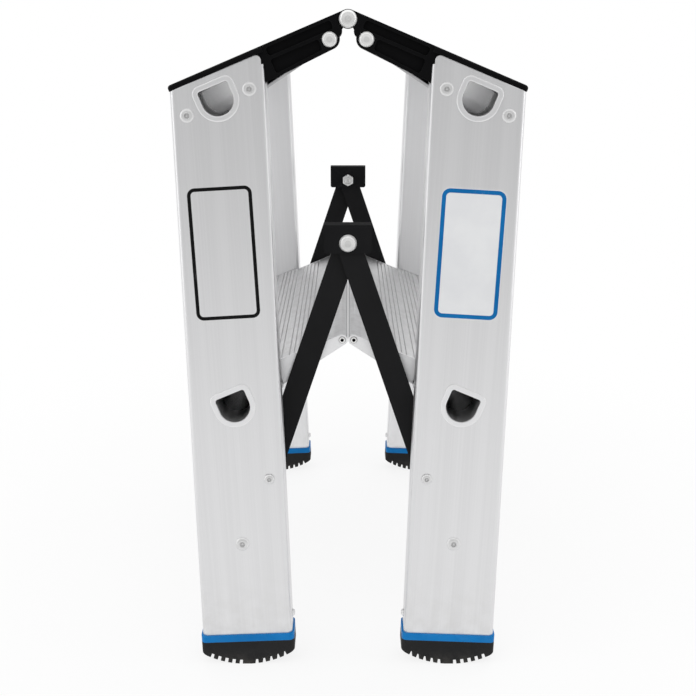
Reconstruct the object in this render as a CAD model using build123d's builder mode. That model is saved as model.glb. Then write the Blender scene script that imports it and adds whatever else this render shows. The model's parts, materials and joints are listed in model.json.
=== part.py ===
from build123d import *

import os
from math import asin, atan2, cos, degrees, hypot, radians, sin, sqrt, tan

# Double-sided folding step stool, shown folded and standing on its feet.
# Two identical half frames meet at the top hinge and open to both sides.
# X runs from the left half to the right half, Y from the front end to the back end, Z is up.
# The origin is on the floor, midway between the four feet.

# Fold and frame, in millimetres and degrees
FOLD = 22.8  # turn of each half from the open to the folded state
LEAN = 20.6  # stiles against the vertical when the stool is open
SPLAY = 3.75  # stiles run apart towards the floor by this angle at each end
RISER = 220.4  # step height from the lower tread to the platform
TOP_HALF_WIDTH = 193.0  # centre of the stool to a stile's outer face at hinge height
AXIS_FROM_HINGE = 106.0  # hinge axis to a stile's centre line at hinge height

# Stile, a closed box extrusion
STILE_WIDTH = 72.0
STILE_DEPTH = 25.0
STILE_WALL = 1.8
STILE_CORNER = 4.0
STILE_LENGTH = 441.3  # along the centre line, from hinge height to the foot
STILE_TOP = 2.8  # level end cut above the hinge axis
STILE_TOP_STEP = 2.6  # the upper inner corner is cut back by this
STILE_STEP_DROP = 9.4  # from the end cut down to the step
STILE_TOP_ROUND = 4.0  # rounded upper inner corner

# Tread, one extrusion for the lower treads and the platform halves
PLATFORM_DROP = 3.9  # platform surface below the hinge axis
TREAD_WALL = 2.2
TREAD_FRONT = 32.0  # locking tube to the outer edge of the tread
TREAD_FRONT_HEIGHT = 11.0
TREAD_EDGE_ROUND = 3.0
NOSE_RADIUS = 4.3
NOSE_DROP = 4.4  # screw port below the tread surface
NOSE_GAP = 0.35  # nose to the middle plane when folded
TUBE_WIDTH = 24.0  # clear width of the D-shaped locking tube
TUBE_HEIGHT = 22.4
TUBE_ROUND = 2.0  # upper corners of the clear section
FLARE_WIDTH = 2.2
FLARE_HEIGHT = 1.2
FLARE_ROUND = 0.8
PORT_RADIUS = 2.6
GROOVE_WIDTH = 1.8
GROOVE_DEPTH = 0.8
GROOVE_PITCH = 4.25
GROOVE_GROUP_PITCH = 24.0
GROOVES_IN_GROUP = 5
GROOVE_GROUPS = 4
FIRST_GROOVE = 31.0  # nose tip to the first groove
TREAD_STILE_GAP = 0.3  # tread end to the stile, at its closest

# Hinge casting
ARM_INSET = 2.5  # arm face behind the stile's outer face at hinge height
ARM_THICKNESS = 12.0
KNUCKLE_RADIUS = 7.2
BOSS_RADIUS = 7.6
ARM_TAPER = 2.9  # the arm's lower edge drops by this towards the stile
LAP_GAP = 0.3
LAP_RELIEF = 0.6
CAP_OVERHANG = 0.6
CAP_ROUND = 2.6  # upper edges of the cap
TONGUE_LENGTH = 42.0
TONGUE_CLEARANCE = 0.3
TUBE_CLEARANCE = 0.15
POCKET_DEPTH = 4.0
POCKET_ROUND = 2.2
POCKET_RIM = 2.6
POCKET_RIB = 2.4
RIB_DROP = 3.5  # middle of the rib below the hinge axis
NOTCH_CLEARANCE = 0.4
PIN_RADIUS = 4.0
PIN_HEAD_RADIUS = 6.7
PIN_HEAD_HEIGHT = 3.2
RUNNING_FIT = 0.05
RIVET_FIT = 0.05
SCREW_HEAD_RADIUS = 5.7
SCREW_HEAD_HEIGHT = 2.8
SCREW_LENGTH = 26.0  # screw thread inside the tread's port
SCREW_FIT = 0.1
HEAD_TAPER = 28.0

# Rivets on the stile's outer face
RIVET_RADIUS = 2.4
RIVET_HEAD_RADIUS = 5.4
RIVET_HEAD_HEIGHT = 1.6
RIVET_SPACING = 25.4  # casting rivets to either side of the locking tube
RIVET_DROP = 18.5  # casting rivets below the hinge axis
FOOT_RIVET_DEPTH = 9.5  # spigot rivet below the spigot's upper end
FLANK_RIVET_ABOVE_END = 12.0
FLANK_RIVET_RADIUS = 1.6
FLANK_HEAD_RADIUS = 2.9
FLANK_HEAD_HEIGHT = 2.2

# Tread end plates
END_PLATE_THICKNESS = 2.5
END_PLATE_REACH = 62.0  # from the nose tip towards the stile
PLATE_SCREW_RADIUS = 2.9
PLATE_SCREW_HEIGHT = 1.2
PLATE_SCREW_BORE = 1.1
PLATE_CLEARANCE = 1.6  # end plate to the bar that swings past it

# Spreader arms
PIVOT_DROP = 301.0  # spreader pivot below the hinge axis when open
PIVOT_FROM_FLANK = 12.1  # spreader pivot to the stile's inner flank
BAR_WIDTH = 19.0
BAR_THICKNESS = 4.0
BAR_GAP = 0.5  # between the two bars, and from bar to stop plate
BAR_STILE_GAP = 1.0  # outer bar to the stile, at its closest
PIVOT_PIN_RADIUS = 3.5
PIVOT_HEAD_RADIUS = 4.2
PIVOT_HEAD_HEIGHT = 1.6
PIVOT_TAIL_RADIUS = 6.0
PIVOT_TAIL_HEIGHT = 2.2
BUSH_RADIUS = 7.0
BOLT_RADIUS = 3.5
BOLT_HEAD_RADIUS = 6.8
BOLT_HEAD_HEIGHT = 3.4
BOLT_SHORT = 0.1  # the bolt halves stop short of the lap between the bars
NUT_RADIUS = 6.2
NUT_HEIGHT = 5.0
STOP_WIDTH = 37.0
STOP_BELOW = 8.0
STOP_CLEARANCE = 1.5  # stop flange above a straight bar
STOP_THICKNESS = 3.0
STOP_ROUND = 2.0

# Foot
COLLAR_HEIGHT = 5.6
COLLAR_PROUD = 1.3
SPIGOT_BELOW_PIVOT = 43.0  # spigot's upper end below the spreader pivot, along the stile
SPIGOT_CLEARANCE = 0.3
SPIGOT_WALL = 3.0
SPIGOT_CORNER = 1.0
SOLE_DEPTH = 19.8
SOLE_RADIUS = 71.0
SOLE_FLAT = 9.4
NOTCH_COUNT = 5
NOTCH_FIRST = 5.2
NOTCH_PITCH = 4.85
NOTCH_WIDTH = 2.6
NOTCH_DEPTH = 3.5

# Half frame geometry, in the open orientation: u inwards, v upwards from the hinge axis
fold, lean, splay = radians(FOLD), radians(LEAN), radians(SPLAY)


def axis_u(v):
    """Distance u of the stile's centre line at height v."""
    return -AXIS_FROM_HINGE + v * tan(lean)


tread_tops = {"platform": -PLATFORM_DROP, "lower": -PLATFORM_DROP - RISER}
tube_middle = TREAD_WALL + TUBE_HEIGHT / 2
tube_radius = TUBE_WIDTH / 2
lower_port_v = tread_tops["lower"] - NOSE_DROP
lower_port_u = (lower_port_v * sin(fold) - NOSE_RADIUS - NOSE_GAP) / cos(fold)
tube_to_port = lower_port_u - axis_u(tread_tops["lower"] - tube_middle)
tube_half = tube_radius + TREAD_WALL
shoulder_drop = TREAD_WALL + TUBE_HEIGHT - tube_radius  # centre of the tube's round side
port_rise = shoulder_drop - NOSE_DROP
# The underside is a straight web that touches the nose and the tube's round side
web_slope = atan2(port_rise, tube_to_port) + asin(
    (tube_half - NOSE_RADIUS) / hypot(tube_to_port, port_rise)
)
pivot_u = axis_u(-PIVOT_DROP) + (STILE_WIDTH / 2 - PIVOT_FROM_FLANK) / cos(lean)
bar_length = -pivot_u  # the two bars lie in one line when the stool is open

# The sole's rocker centre fixes how high the hinge stands when folded
rocker = STILE_LENGTH + COLLAR_HEIGHT + SOLE_DEPTH - SOLE_RADIUS
rocker_u = -AXIS_FROM_HINGE - rocker * sin(lean)
rocker_v = -rocker * cos(lean)
flat_height = sqrt(SOLE_RADIUS**2 - (SOLE_FLAT / 2) ** 2)
hinge_z = flat_height - rocker_u * sin(fold) - rocker_v * cos(fold)

# Working planes of the left half: the frame plane looks at the stool from its front end
frame = Plane(origin=(0, 0, hinge_z), x_dir=(cos(fold), 0, sin(fold)), z_dir=(0, -1, 0))


def frame_point(u, v, y=0.0):
    return frame.from_local_coords(Vector(u, v, y))


def frame_direction(u, v, y):
    return frame.x_dir * u + frame.y_dir * v + frame.z_dir * y


across = frame_direction(cos(lean), -sin(lean), 0)
down_flat = frame_direction(-sin(lean), -cos(lean), 0)
down = down_flat * cos(splay) + frame.z_dir * sin(splay)
stile_origin = frame_point(-AXIS_FROM_HINGE, 0, TOP_HALF_WIDTH)
stile_section = Plane(origin=stile_origin, x_dir=across, z_dir=down)
stile_face = Plane(origin=stile_origin, x_dir=across, z_dir=stile_section.y_dir)
stile_inner_face = stile_face.offset(-STILE_DEPTH)
stile_cut = Plane(origin=frame_point(0, STILE_TOP), x_dir=frame.x_dir, z_dir=frame.y_dir)
foot_origin = frame_point(
    -AXIS_FROM_HINGE - STILE_LENGTH * sin(lean), -STILE_LENGTH * cos(lean)
)
foot_cut = Plane(origin=foot_origin, x_dir=across, z_dir=down_flat)
sole_plane = Plane(origin=frame_point(rocker_u, rocker_v), x_dir=across, z_dir=frame.z_dir)


def down_stile(u, v):
    """Distance of a frame point down the stile from hinge height, in the frame plane."""
    return -(u + AXIS_FROM_HINGE) * sin(lean) - v * cos(lean)


def outer_face_y(down):
    """Distance of a stile's outer face from the middle of the stool, so far down the stile."""
    return TOP_HALF_WIDTH + down * tan(splay)


def inner_face_y(down):
    return outer_face_y(down) - STILE_DEPTH / cos(splay)


def on_stile_face(u, v):
    """Place on the stile's outer face that a line along Y through a frame point meets."""
    return ((u - axis_u(v)) * cos(lean), -down_stile(u, v) / cos(splay))


# Spreader bars when folded, and how far up the stile the bar's edge leaves the stile's flank
rest_pivot = frame_point(pivot_u, -PIVOT_DROP)
bolt_z = rest_pivot.Z + sqrt(bar_length**2 - rest_pivot.X**2)
bar_tilt = degrees(atan2(bolt_z - rest_pivot.Z, -rest_pivot.X))
bar_to_stile = radians(90 - bar_tilt + FOLD - LEAN)
edge_run = (PIVOT_FROM_FLANK + BAR_WIDTH / 2 * cos(bar_to_stile)) / sin(bar_to_stile)
edge_up = edge_run * cos(bar_to_stile) + BAR_WIDTH / 2 * sin(bar_to_stile)
bar_plane = Plane(origin=(0, 0, bolt_z), x_dir=(1, 0, 0), z_dir=(0, -1, 0))

# Layers along Y, as distances from the middle of the stool
stile_end = STILE_LENGTH / cos(splay)
arm_out = TOP_HALF_WIDTH - ARM_INSET
arm_in = arm_out - ARM_THICKNESS
lap = (arm_out + arm_in) / 2
outer_bar = inner_face_y(down_stile(pivot_u, -PIVOT_DROP) - edge_up) - BAR_STILE_GAP
inner_bar = outer_bar - BAR_THICKNESS - BAR_GAP
stop_face = inner_bar - BAR_THICKNESS - BAR_GAP
bar_layers = {"outer": outer_bar - BAR_THICKNESS, "inner": inner_bar - BAR_THICKNESS}
plate_face = inner_bar - BAR_THICKNESS - PLATE_CLEARANCE
lower_nose_end = plate_face - END_PLATE_THICKNESS
cut_reach = STILE_WIDTH  # cutting outlines run past the piece they cut
past_stile = outer_face_y(STILE_LENGTH) + cut_reach
foot_grip = STILE_WALL + SPIGOT_CLEARANCE + SPIGOT_WALL
spigot_length = stile_end - (down_stile(pivot_u, -PIVOT_DROP) + SPIGOT_BELOW_PIVOT) / cos(splay)
foot_middle = outer_face_y(STILE_LENGTH) - STILE_DEPTH / 2
foot_depth = STILE_DEPTH + 2 * COLLAR_PROUD
foot_width = STILE_WIDTH + 2 * COLLAR_PROUD

os.makedirs("parts", exist_ok=True)


def save(shape, name):
    shape.label = name
    export_step(shape, f"parts/{name}.step")


def save_turned_pair(shape, left_name, right_name):
    """A half turn about the upright axis carries the left half into the right half."""
    save(shape, left_name)
    save(shape.rotate(Axis.Z, 180), right_name)


def tube_outline(u, flat_v, grow):
    """D-shaped outline in the frame plane: flat side up, round side down."""
    half = tube_radius + grow
    shoulder = flat_v - TUBE_HEIGHT + tube_radius
    with BuildSketch() as outline:
        with BuildLine():
            Polyline(
                (u - half, shoulder),
                (u - half, flat_v + grow),
                (u + half, flat_v + grow),
                (u + half, shoulder),
            )
            ThreePointArc((u + half, shoulder), (u, shoulder - half), (u - half, shoulder))
        make_face()
        fillet(outline.vertices().sort_by(Axis.Y)[-2:], TUBE_ROUND + grow)
    return outline.sketch_local


# Stile: box extrusion, level at the top, square to the leg at the foot
flank_u = axis_u(STILE_TOP) + STILE_WIDTH / 2 / cos(lean)
corner_u = flank_u - STILE_TOP_STEP / cos(lean)
step_start = (flank_u - STILE_STEP_DROP * sin(lean), STILE_TOP - STILE_STEP_DROP * cos(lean))
step_end = (step_start[0] - STILE_TOP_STEP * cos(lean), step_start[1] + STILE_TOP_STEP * sin(lean))
corner_half = (radians(90) - lean) / 2
round_run = STILE_TOP_ROUND / tan(corner_half)
round_start = (corner_u - round_run, STILE_TOP)
round_end = (corner_u - round_run * sin(lean), STILE_TOP - round_run * cos(lean))
round_middle = (
    corner_u - round_run + STILE_TOP_ROUND * cos(corner_half),
    STILE_TOP - STILE_TOP_ROUND + STILE_TOP_ROUND * sin(corner_half),
)
tube_places = {
    level: (axis_u(top - tube_middle), top - TREAD_WALL) for level, top in tread_tops.items()
}
arm_low_v = tread_tops["platform"] - NOSE_DROP - BOSS_RADIUS - ARM_TAPER
rivet_places = [
    (axis_u(-RIVET_DROP) - RIVET_SPACING, -RIVET_DROP),
    (axis_u(-RIVET_DROP) + RIVET_SPACING, -RIVET_DROP),
]
foot_rivet_place = (0, -stile_end + spigot_length - FOOT_RIVET_DEPTH)
flank_plane = Plane(
    origin=stile_section.from_local_coords(
        Vector(STILE_WIDTH / 2, -STILE_DEPTH / 2, stile_end - FLANK_RIVET_ABOVE_END)
    ),
    x_dir=down,
    z_dir=across,
)
face_rivets = [on_stile_face(u, v) for u, v in rivet_places] + [foot_rivet_place]

with BuildPart() as stile:
    with BuildSketch(stile_section.offset(-cut_reach)):
        with Locations((0, -STILE_DEPTH / 2)):
            RectangleRounded(STILE_WIDTH, STILE_DEPTH, STILE_CORNER)
            RectangleRounded(
                STILE_WIDTH - 2 * STILE_WALL,
                STILE_DEPTH - 2 * STILE_WALL,
                STILE_CORNER - STILE_WALL,
                mode=Mode.SUBTRACT,
            )
    extrude(amount=stile_end + 2 * cut_reach)
    split(bisect_by=stile_cut, keep=Keep.BOTTOM)
    split(bisect_by=foot_cut, keep=Keep.BOTTOM)
    # Upper inner corner, rounded and cut back down to a step
    with BuildSketch(frame):
        with BuildLine():
            Polyline(
                round_end,
                step_end,
                step_start,
                (flank_u + STILE_CORNER, step_start[1]),
                (flank_u + STILE_CORNER, STILE_TOP + STILE_CORNER),
                (round_start[0], STILE_TOP + STILE_CORNER),
                round_start,
            )
            ThreePointArc(round_start, round_middle, round_end)
        make_face()
    extrude(amount=past_stile, mode=Mode.SUBTRACT)
    # Locking tube windows through both walls
    with BuildSketch(frame):
        for tube_u, flat_v in tube_places.values():
            add(tube_outline(tube_u, flat_v, TREAD_WALL + TUBE_CLEARANCE))
    extrude(amount=past_stile, mode=Mode.SUBTRACT)
    # Slot in the inner flank, where the hinge arm comes out
    with BuildSketch(frame.offset(arm_in - NOTCH_CLEARANCE)):
        with BuildLine():
            Polyline(
                (axis_u(0), arm_low_v - NOTCH_CLEARANCE),
                (0, arm_low_v - NOTCH_CLEARANCE),
                (0, cut_reach),
                (axis_u(0), cut_reach),
                close=True,
            )
        make_face()
    extrude(amount=ARM_THICKNESS + 2 * NOTCH_CLEARANCE, mode=Mode.SUBTRACT)
    # Rivet holes in the outer face and the inner flank
    with BuildSketch(stile_face):
        with Locations(*face_rivets):
            Circle(RIVET_RADIUS + RIVET_FIT)
    extrude(amount=-STILE_DEPTH / 2, mode=Mode.SUBTRACT)
    with BuildSketch(flank_plane):
        Circle(FLANK_RIVET_RADIUS + RIVET_FIT)
    extrude(amount=-STILE_DEPTH / 2, mode=Mode.SUBTRACT)
    # Pivot hole through both walls
    with BuildSketch(frame):
        with Locations((pivot_u, -PIVOT_DROP)):
            Circle(PIVOT_PIN_RADIUS + RIVET_FIT)
    extrude(amount=past_stile, mode=Mode.SUBTRACT)

save_turned_pair(stile.part, "left_front_stile", "right_back_stile")
save_turned_pair(mirror(stile.part, about=Plane.XZ), "left_back_stile", "right_front_stile")


# Treads: hollow extrusion with a D-shaped locking tube, a grooved top and a screw-port nose
def tread_outline(tube_u, top):
    """Closed outline of the tread section in the frame plane."""
    port_u = tube_u + tube_to_port
    port_v = top - NOSE_DROP
    shoulder = top - shoulder_drop
    nose_top = (port_u, port_v + NOSE_RADIUS)
    nose_touch = (
        port_u + NOSE_RADIUS * sin(web_slope),
        port_v - NOSE_RADIUS * cos(web_slope),
    )
    tube_touch = (tube_u + tube_half * sin(web_slope), shoulder - tube_half * cos(web_slope))
    tube_outside = (tube_u - tube_half, shoulder)
    with BuildSketch() as outline:
        with BuildLine():
            Polyline(
                tube_outside,
                (tube_u - tube_half, top - TREAD_FRONT_HEIGHT),
                (tube_u - TREAD_FRONT, top - TREAD_FRONT_HEIGHT),
                (tube_u - TREAD_FRONT, top),
                (port_u - NOSE_RADIUS, top),
                nose_top,
            )
            ThreePointArc(nose_top, (port_u + NOSE_RADIUS, port_v), nose_touch)
            Line(nose_touch, tube_touch)
            ThreePointArc(tube_touch, (tube_u, shoulder - tube_half), tube_outside)
        make_face()
        fillet(outline.vertices().sort_by(Axis.X)[:2], TREAD_EDGE_ROUND)
    return outline.sketch_local


def tread_hollows(tube_u, top):
    """The chambers of the extrusion, which are cut out of its outline."""
    port_u = tube_u + tube_to_port
    under = top - TREAD_WALL
    chamber_start = tube_u + tube_half
    chamber_end = port_u - NOSE_RADIUS - TREAD_WALL
    floor_port = top - NOSE_DROP - (NOSE_RADIUS - TREAD_WALL) / cos(web_slope)
    front_start = tube_u - TREAD_FRONT + TREAD_WALL
    front_end = tube_u - tube_half
    front_floor = top - TREAD_FRONT_HEIGHT + TREAD_WALL
    with BuildSketch() as hollows:
        add(tube_outline(tube_u, under, 0))
        with BuildLine():
            Polyline(
                (chamber_start, floor_port + (chamber_start - port_u) * tan(web_slope)),
                (chamber_end, floor_port + (chamber_end - port_u) * tan(web_slope)),
                (chamber_end, under),
                (chamber_start, under),
                close=True,
            )
        make_face()
        with BuildLine():
            Polyline(
                (front_start, front_floor),
                (front_end, front_floor),
                (front_end, under),
                (front_start, under),
                close=True,
            )
        make_face()
        with Locations((port_u, top - NOSE_DROP)):
            Circle(PORT_RADIUS)
    return hollows.sketch_local


def groove_places(tube_u, top):
    """Middles of the grooves in the tread's top, in groups counted from the nose."""
    tip = tube_u + tube_to_port + NOSE_RADIUS
    return [
        (tip - FIRST_GROOVE - group * GROOVE_GROUP_PITCH - step * GROOVE_PITCH, top)
        for group in range(GROOVE_GROUPS)
        for step in range(GROOVES_IN_GROUP)
    ]


def make_tread(level, nose_half, stile_half, change_u):
    """Half of a tread from the middle plane to its front end, doubled over the middle."""
    tube_u, flat_v = tube_places[level]
    top = tread_tops[level]
    with BuildPart() as rim:
        with BuildSketch(frame.offset(inner_face_y(0))):
            add(tube_outline(tube_u, flat_v, TREAD_WALL + FLARE_WIDTH))
        extrude(amount=past_stile - inner_face_y(0))
        split(bisect_by=stile_face, keep=Keep.TOP)
    with BuildPart() as tread:
        with BuildSketch(frame):
            add(tread_outline(tube_u, top))
            add(tread_hollows(tube_u, top), mode=Mode.SUBTRACT)
            with Locations(*groove_places(tube_u, top)):
                Rectangle(GROOVE_WIDTH, 2 * GROOVE_DEPTH, mode=Mode.SUBTRACT)
        extrude(amount=max(nose_half, stile_half))
        # The shorter side stops before the stile or before the spreader bars
        shorter = min(nose_half, stile_half)
        far_u = tube_u + tube_to_port + cut_reach
        if nose_half > stile_half:
            far_u = tube_u - TREAD_FRONT - cut_reach
        with BuildSketch(frame.offset(shorter)):
            with BuildLine():
                Polyline(
                    (change_u, top + cut_reach),
                    (far_u, top + cut_reach),
                    (far_u, top - cut_reach),
                    (change_u, top - cut_reach),
                    close=True,
                )
            make_face()
        extrude(amount=cut_reach, mode=Mode.SUBTRACT)
        # The locking tube goes on through the stile and is flared on its outer face
        with BuildSketch(frame.offset(stile_half)):
            add(tube_outline(tube_u, flat_v, TREAD_WALL))
        extrude(amount=past_stile - stile_half)
        add(rim.part)
        with BuildSketch(frame):
            add(tube_outline(tube_u, flat_v, 0))
        extrude(amount=past_stile, mode=Mode.SUBTRACT)
        split(bisect_by=stile_face.offset(FLARE_HEIGHT), keep=Keep.BOTTOM)
        flare = tread.faces().sort_by(Axis(stile_origin, stile_face.z_dir))[-1]
        fillet(flare.edges(), FLARE_ROUND)
        mirror(about=Plane.XZ)
    return tread.part


platform_top = tread_tops["platform"]
platform_change = axis_u(platform_top) + STILE_WIDTH / 2 / cos(lean) + TREAD_WALL
platform_half = inner_face_y(down_stile(platform_change, platform_top)) - TREAD_STILE_GAP
plate_change = lower_port_u + NOSE_RADIUS - END_PLATE_REACH
lower_half = inner_face_y(down_stile(plate_change, tread_tops["lower"])) - TREAD_STILE_GAP
platform = make_tread("platform", arm_in, platform_half, platform_change)
lower_tread = make_tread("lower", lower_nose_end, lower_half, plate_change)
save_turned_pair(platform, "left_platform", "right_platform")
save_turned_pair(lower_tread, "left_tread", "right_tread")

# End plates close the nose side of the lower treads
lower_tube_u = tube_places["lower"][0]
lower_top = tread_tops["lower"]
with BuildPart() as end_plate:
    with BuildSketch(frame.offset(lower_nose_end)):
        add(tread_outline(lower_tube_u, lower_top))
        with BuildLine():
            Polyline(
                (plate_change, lower_top + cut_reach),
                (plate_change, lower_top - cut_reach),
                (lower_tube_u - cut_reach, lower_top - cut_reach),
                (lower_tube_u - cut_reach, lower_top + cut_reach),
                close=True,
            )
        make_face(mode=Mode.SUBTRACT)
        with Locations((lower_port_u, lower_port_v)):
            Circle(PORT_RADIUS, mode=Mode.SUBTRACT)
    extrude(amount=END_PLATE_THICKNESS)
save_turned_pair(end_plate.part, "left_front_end_plate", "right_back_end_plate")
save_turned_pair(
    mirror(end_plate.part, about=Plane.XZ), "left_back_end_plate", "right_front_end_plate"
)


# Hinge castings: cap on the stile, tongue inside it and a pocketed arm to the hinge knuckle
platform_port_u = tube_places["platform"][0] + tube_to_port
platform_port_v = tread_tops["platform"] - NOSE_DROP
tongue_half = (STILE_WIDTH / 2 - STILE_WALL - TONGUE_CLEARANCE) / cos(lean)


def make_casting(knuckle):
    """Front casting of the left half, with its knuckle in the outer or the inner half of the lap."""
    flank = axis_u(0) + STILE_WIDTH / 2 / cos(lean)
    # Cap over the stile's end, rounded except where the arm leaves it
    cap_start = axis_u(STILE_TOP) - STILE_WIDTH / 2 / cos(lean) - CAP_OVERHANG
    cap_depth = STILE_DEPTH + 2 * CAP_OVERHANG
    cap_down = down_stile(axis_u(STILE_TOP), STILE_TOP)
    cap_middle = (outer_face_y(cap_down) + inner_face_y(cap_down)) / 2
    with BuildPart() as cap:
        with BuildSketch(stile_cut) as cap_outline:
            with Locations(((cap_start + flank) / 2, -cap_middle)):
                Rectangle(flank - cap_start, cap_depth)
            fillet(cap_outline.vertices().sort_by(Axis.X)[:2], STILE_CORNER)
        extrude(amount=KNUCKLE_RADIUS - STILE_TOP)
        cap_top = cap.faces().sort_by(Axis(stile_cut.origin, stile_cut.z_dir))[-1]
        fillet(cap_top.edges().sort_by(Axis(stile_cut.origin, stile_cut.x_dir))[:-1], CAP_ROUND)
    with BuildPart() as casting:
        with BuildSketch(frame.offset(arm_in)):
            with BuildLine():
                Polyline(
                    (axis_u(0), KNUCKLE_RADIUS),
                    (0, KNUCKLE_RADIUS),
                    (0, 0),
                    (platform_port_u + BOSS_RADIUS, platform_port_v),
                    (platform_port_u, platform_port_v),
                    (platform_port_u, platform_port_v - BOSS_RADIUS),
                    (flank, arm_low_v),
                    (axis_u(0), arm_low_v),
                    close=True,
                )
            make_face()
            Circle(KNUCKLE_RADIUS)
            with Locations((platform_port_u, platform_port_v)):
                Circle(BOSS_RADIUS)
            with BuildLine():
                Polyline(
                    (axis_u(STILE_TOP) - tongue_half, STILE_TOP),
                    (axis_u(STILE_TOP) + tongue_half, STILE_TOP),
                    (axis_u(-TONGUE_LENGTH) + tongue_half, -TONGUE_LENGTH),
                    (axis_u(-TONGUE_LENGTH) - tongue_half, -TONGUE_LENGTH),
                    close=True,
                )
            make_face()
        extrude(amount=ARM_THICKNESS)
        add(cap.part)
        # Two pockets in the arm's outer face, with a rib between them
        pocket_start = flank + POCKET_RIM
        with BuildSketch(frame.offset(arm_out)) as pockets:
            with BuildLine():
                Polyline(
                    (pocket_start, KNUCKLE_RADIUS - POCKET_RIM),
                    (-KNUCKLE_RADIUS - 2 * POCKET_RIM, KNUCKLE_RADIUS - POCKET_RIM),
                    (-KNUCKLE_RADIUS - 2 * POCKET_RIM, -RIB_DROP + POCKET_RIB / 2),
                    (pocket_start, -RIB_DROP + POCKET_RIB / 2),
                    close=True,
                )
            make_face()
            with BuildLine():
                Polyline(
                    (pocket_start, -RIB_DROP - POCKET_RIB / 2),
                    (platform_port_u - BOSS_RADIUS, -RIB_DROP - POCKET_RIB / 2),
                    (platform_port_u - BOSS_RADIUS, platform_port_v - BOSS_RADIUS + POCKET_RIM),
                    (pocket_start, arm_low_v + POCKET_RIM),
                    close=True,
                )
            make_face()
            fillet(pockets.vertices(), POCKET_ROUND)
        extrude(amount=-POCKET_DEPTH, mode=Mode.SUBTRACT)
        # Lap at the knuckle: half of the thickness makes way for the other casting
        lap_start = lap - LAP_GAP / 2 if knuckle == "inner" else arm_in
        lap_end = arm_out if knuckle == "inner" else lap + LAP_GAP / 2
        with BuildSketch(frame.offset(lap_start)):
            Circle(KNUCKLE_RADIUS + LAP_RELIEF)
        extrude(amount=lap_end - lap_start, mode=Mode.SUBTRACT)
        # Holes for the hinge pin, the platform screw, the locking tube and the rivets
        with BuildSketch(frame.offset(arm_in)):
            Circle(PIN_RADIUS + RUNNING_FIT)
            with Locations((platform_port_u, platform_port_v)):
                Circle(PORT_RADIUS)
            add(tube_outline(*tube_places["platform"], TREAD_WALL + TUBE_CLEARANCE))
        extrude(amount=ARM_THICKNESS, mode=Mode.SUBTRACT)
        with BuildSketch(stile_face):
            with Locations(*face_rivets[:2]):
                Circle(RIVET_RADIUS + RIVET_FIT)
        extrude(amount=-STILE_DEPTH, mode=Mode.SUBTRACT)
    return casting.part


left_casting = make_casting("inner")
right_casting = mirror(make_casting("outer"), about=Plane.YZ)
save_turned_pair(left_casting, "left_front_hinge_casting", "right_back_hinge_casting")
save(right_casting, "right_front_hinge_casting")
save(right_casting.rotate(Axis.Z, 180), "left_back_hinge_casting")

# Hinge pins: headed outside, riveted over inside
with BuildPart() as hinge_pin:
    with BuildSketch(frame.offset(arm_in)):
        Circle(PIN_RADIUS)
    extrude(amount=ARM_THICKNESS)
    with BuildSketch(frame.offset(arm_out)):
        Circle(PIN_HEAD_RADIUS)
    extrude(amount=PIN_HEAD_HEIGHT, taper=HEAD_TAPER)
    with BuildSketch(frame.offset(arm_in)):
        Circle(PIN_HEAD_RADIUS)
    extrude(amount=-PIN_HEAD_HEIGHT, taper=HEAD_TAPER)
save(hinge_pin.part, "front_hinge_pin")
save(mirror(hinge_pin.part, about=Plane.XZ), "back_hinge_pin")

# Platform screws: through the casting into the port of the platform's nose
with BuildPart() as platform_screws:
    with BuildSketch(frame.offset(arm_in - SCREW_LENGTH)):
        with Locations((platform_port_u, platform_port_v)):
            Circle(PORT_RADIUS - SCREW_FIT)
    extrude(amount=ARM_THICKNESS + SCREW_LENGTH)
    with BuildSketch(frame.offset(arm_out)):
        with Locations((platform_port_u, platform_port_v)):
            Circle(SCREW_HEAD_RADIUS)
    extrude(amount=SCREW_HEAD_HEIGHT, taper=HEAD_TAPER)
    mirror(about=Plane.XZ)
save_turned_pair(platform_screws.part, "left_platform_screws", "right_platform_screws")

# End plate screws: hollow rivets in the ports of the lower treads
with BuildPart() as plate_screws:
    with BuildSketch(frame.offset(lower_nose_end - SCREW_LENGTH / 2)):
        with Locations((lower_port_u, lower_port_v)):
            Circle(PORT_RADIUS - SCREW_FIT)
    extrude(amount=SCREW_LENGTH / 2 + END_PLATE_THICKNESS)
    with BuildSketch(frame.offset(plate_face)):
        with Locations((lower_port_u, lower_port_v)):
            Circle(PLATE_SCREW_RADIUS)
    extrude(amount=PLATE_SCREW_HEIGHT, taper=HEAD_TAPER)
    with BuildSketch(frame.offset(plate_face + PLATE_SCREW_HEIGHT)):
        with Locations((lower_port_u, lower_port_v)):
            Circle(PLATE_SCREW_BORE)
    extrude(amount=-SCREW_LENGTH / 2, mode=Mode.SUBTRACT)
    mirror(about=Plane.XZ)
save_turned_pair(plate_screws.part, "left_end_plate_screws", "right_end_plate_screws")

# Rivets through the stile's outer face: two in each casting, one in each foot
with BuildPart() as casting_rivets:
    with BuildSketch(stile_face):
        with Locations(*face_rivets[:2]):
            Circle(RIVET_HEAD_RADIUS)
    extrude(amount=RIVET_HEAD_HEIGHT, taper=HEAD_TAPER)
    with BuildSketch(stile_face):
        with Locations(*face_rivets[:2]):
            Circle(RIVET_RADIUS)
    extrude(amount=-STILE_DEPTH / 2)
    mirror(about=Plane.XZ)
save_turned_pair(casting_rivets.part, "left_casting_rivets", "right_casting_rivets")

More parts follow.
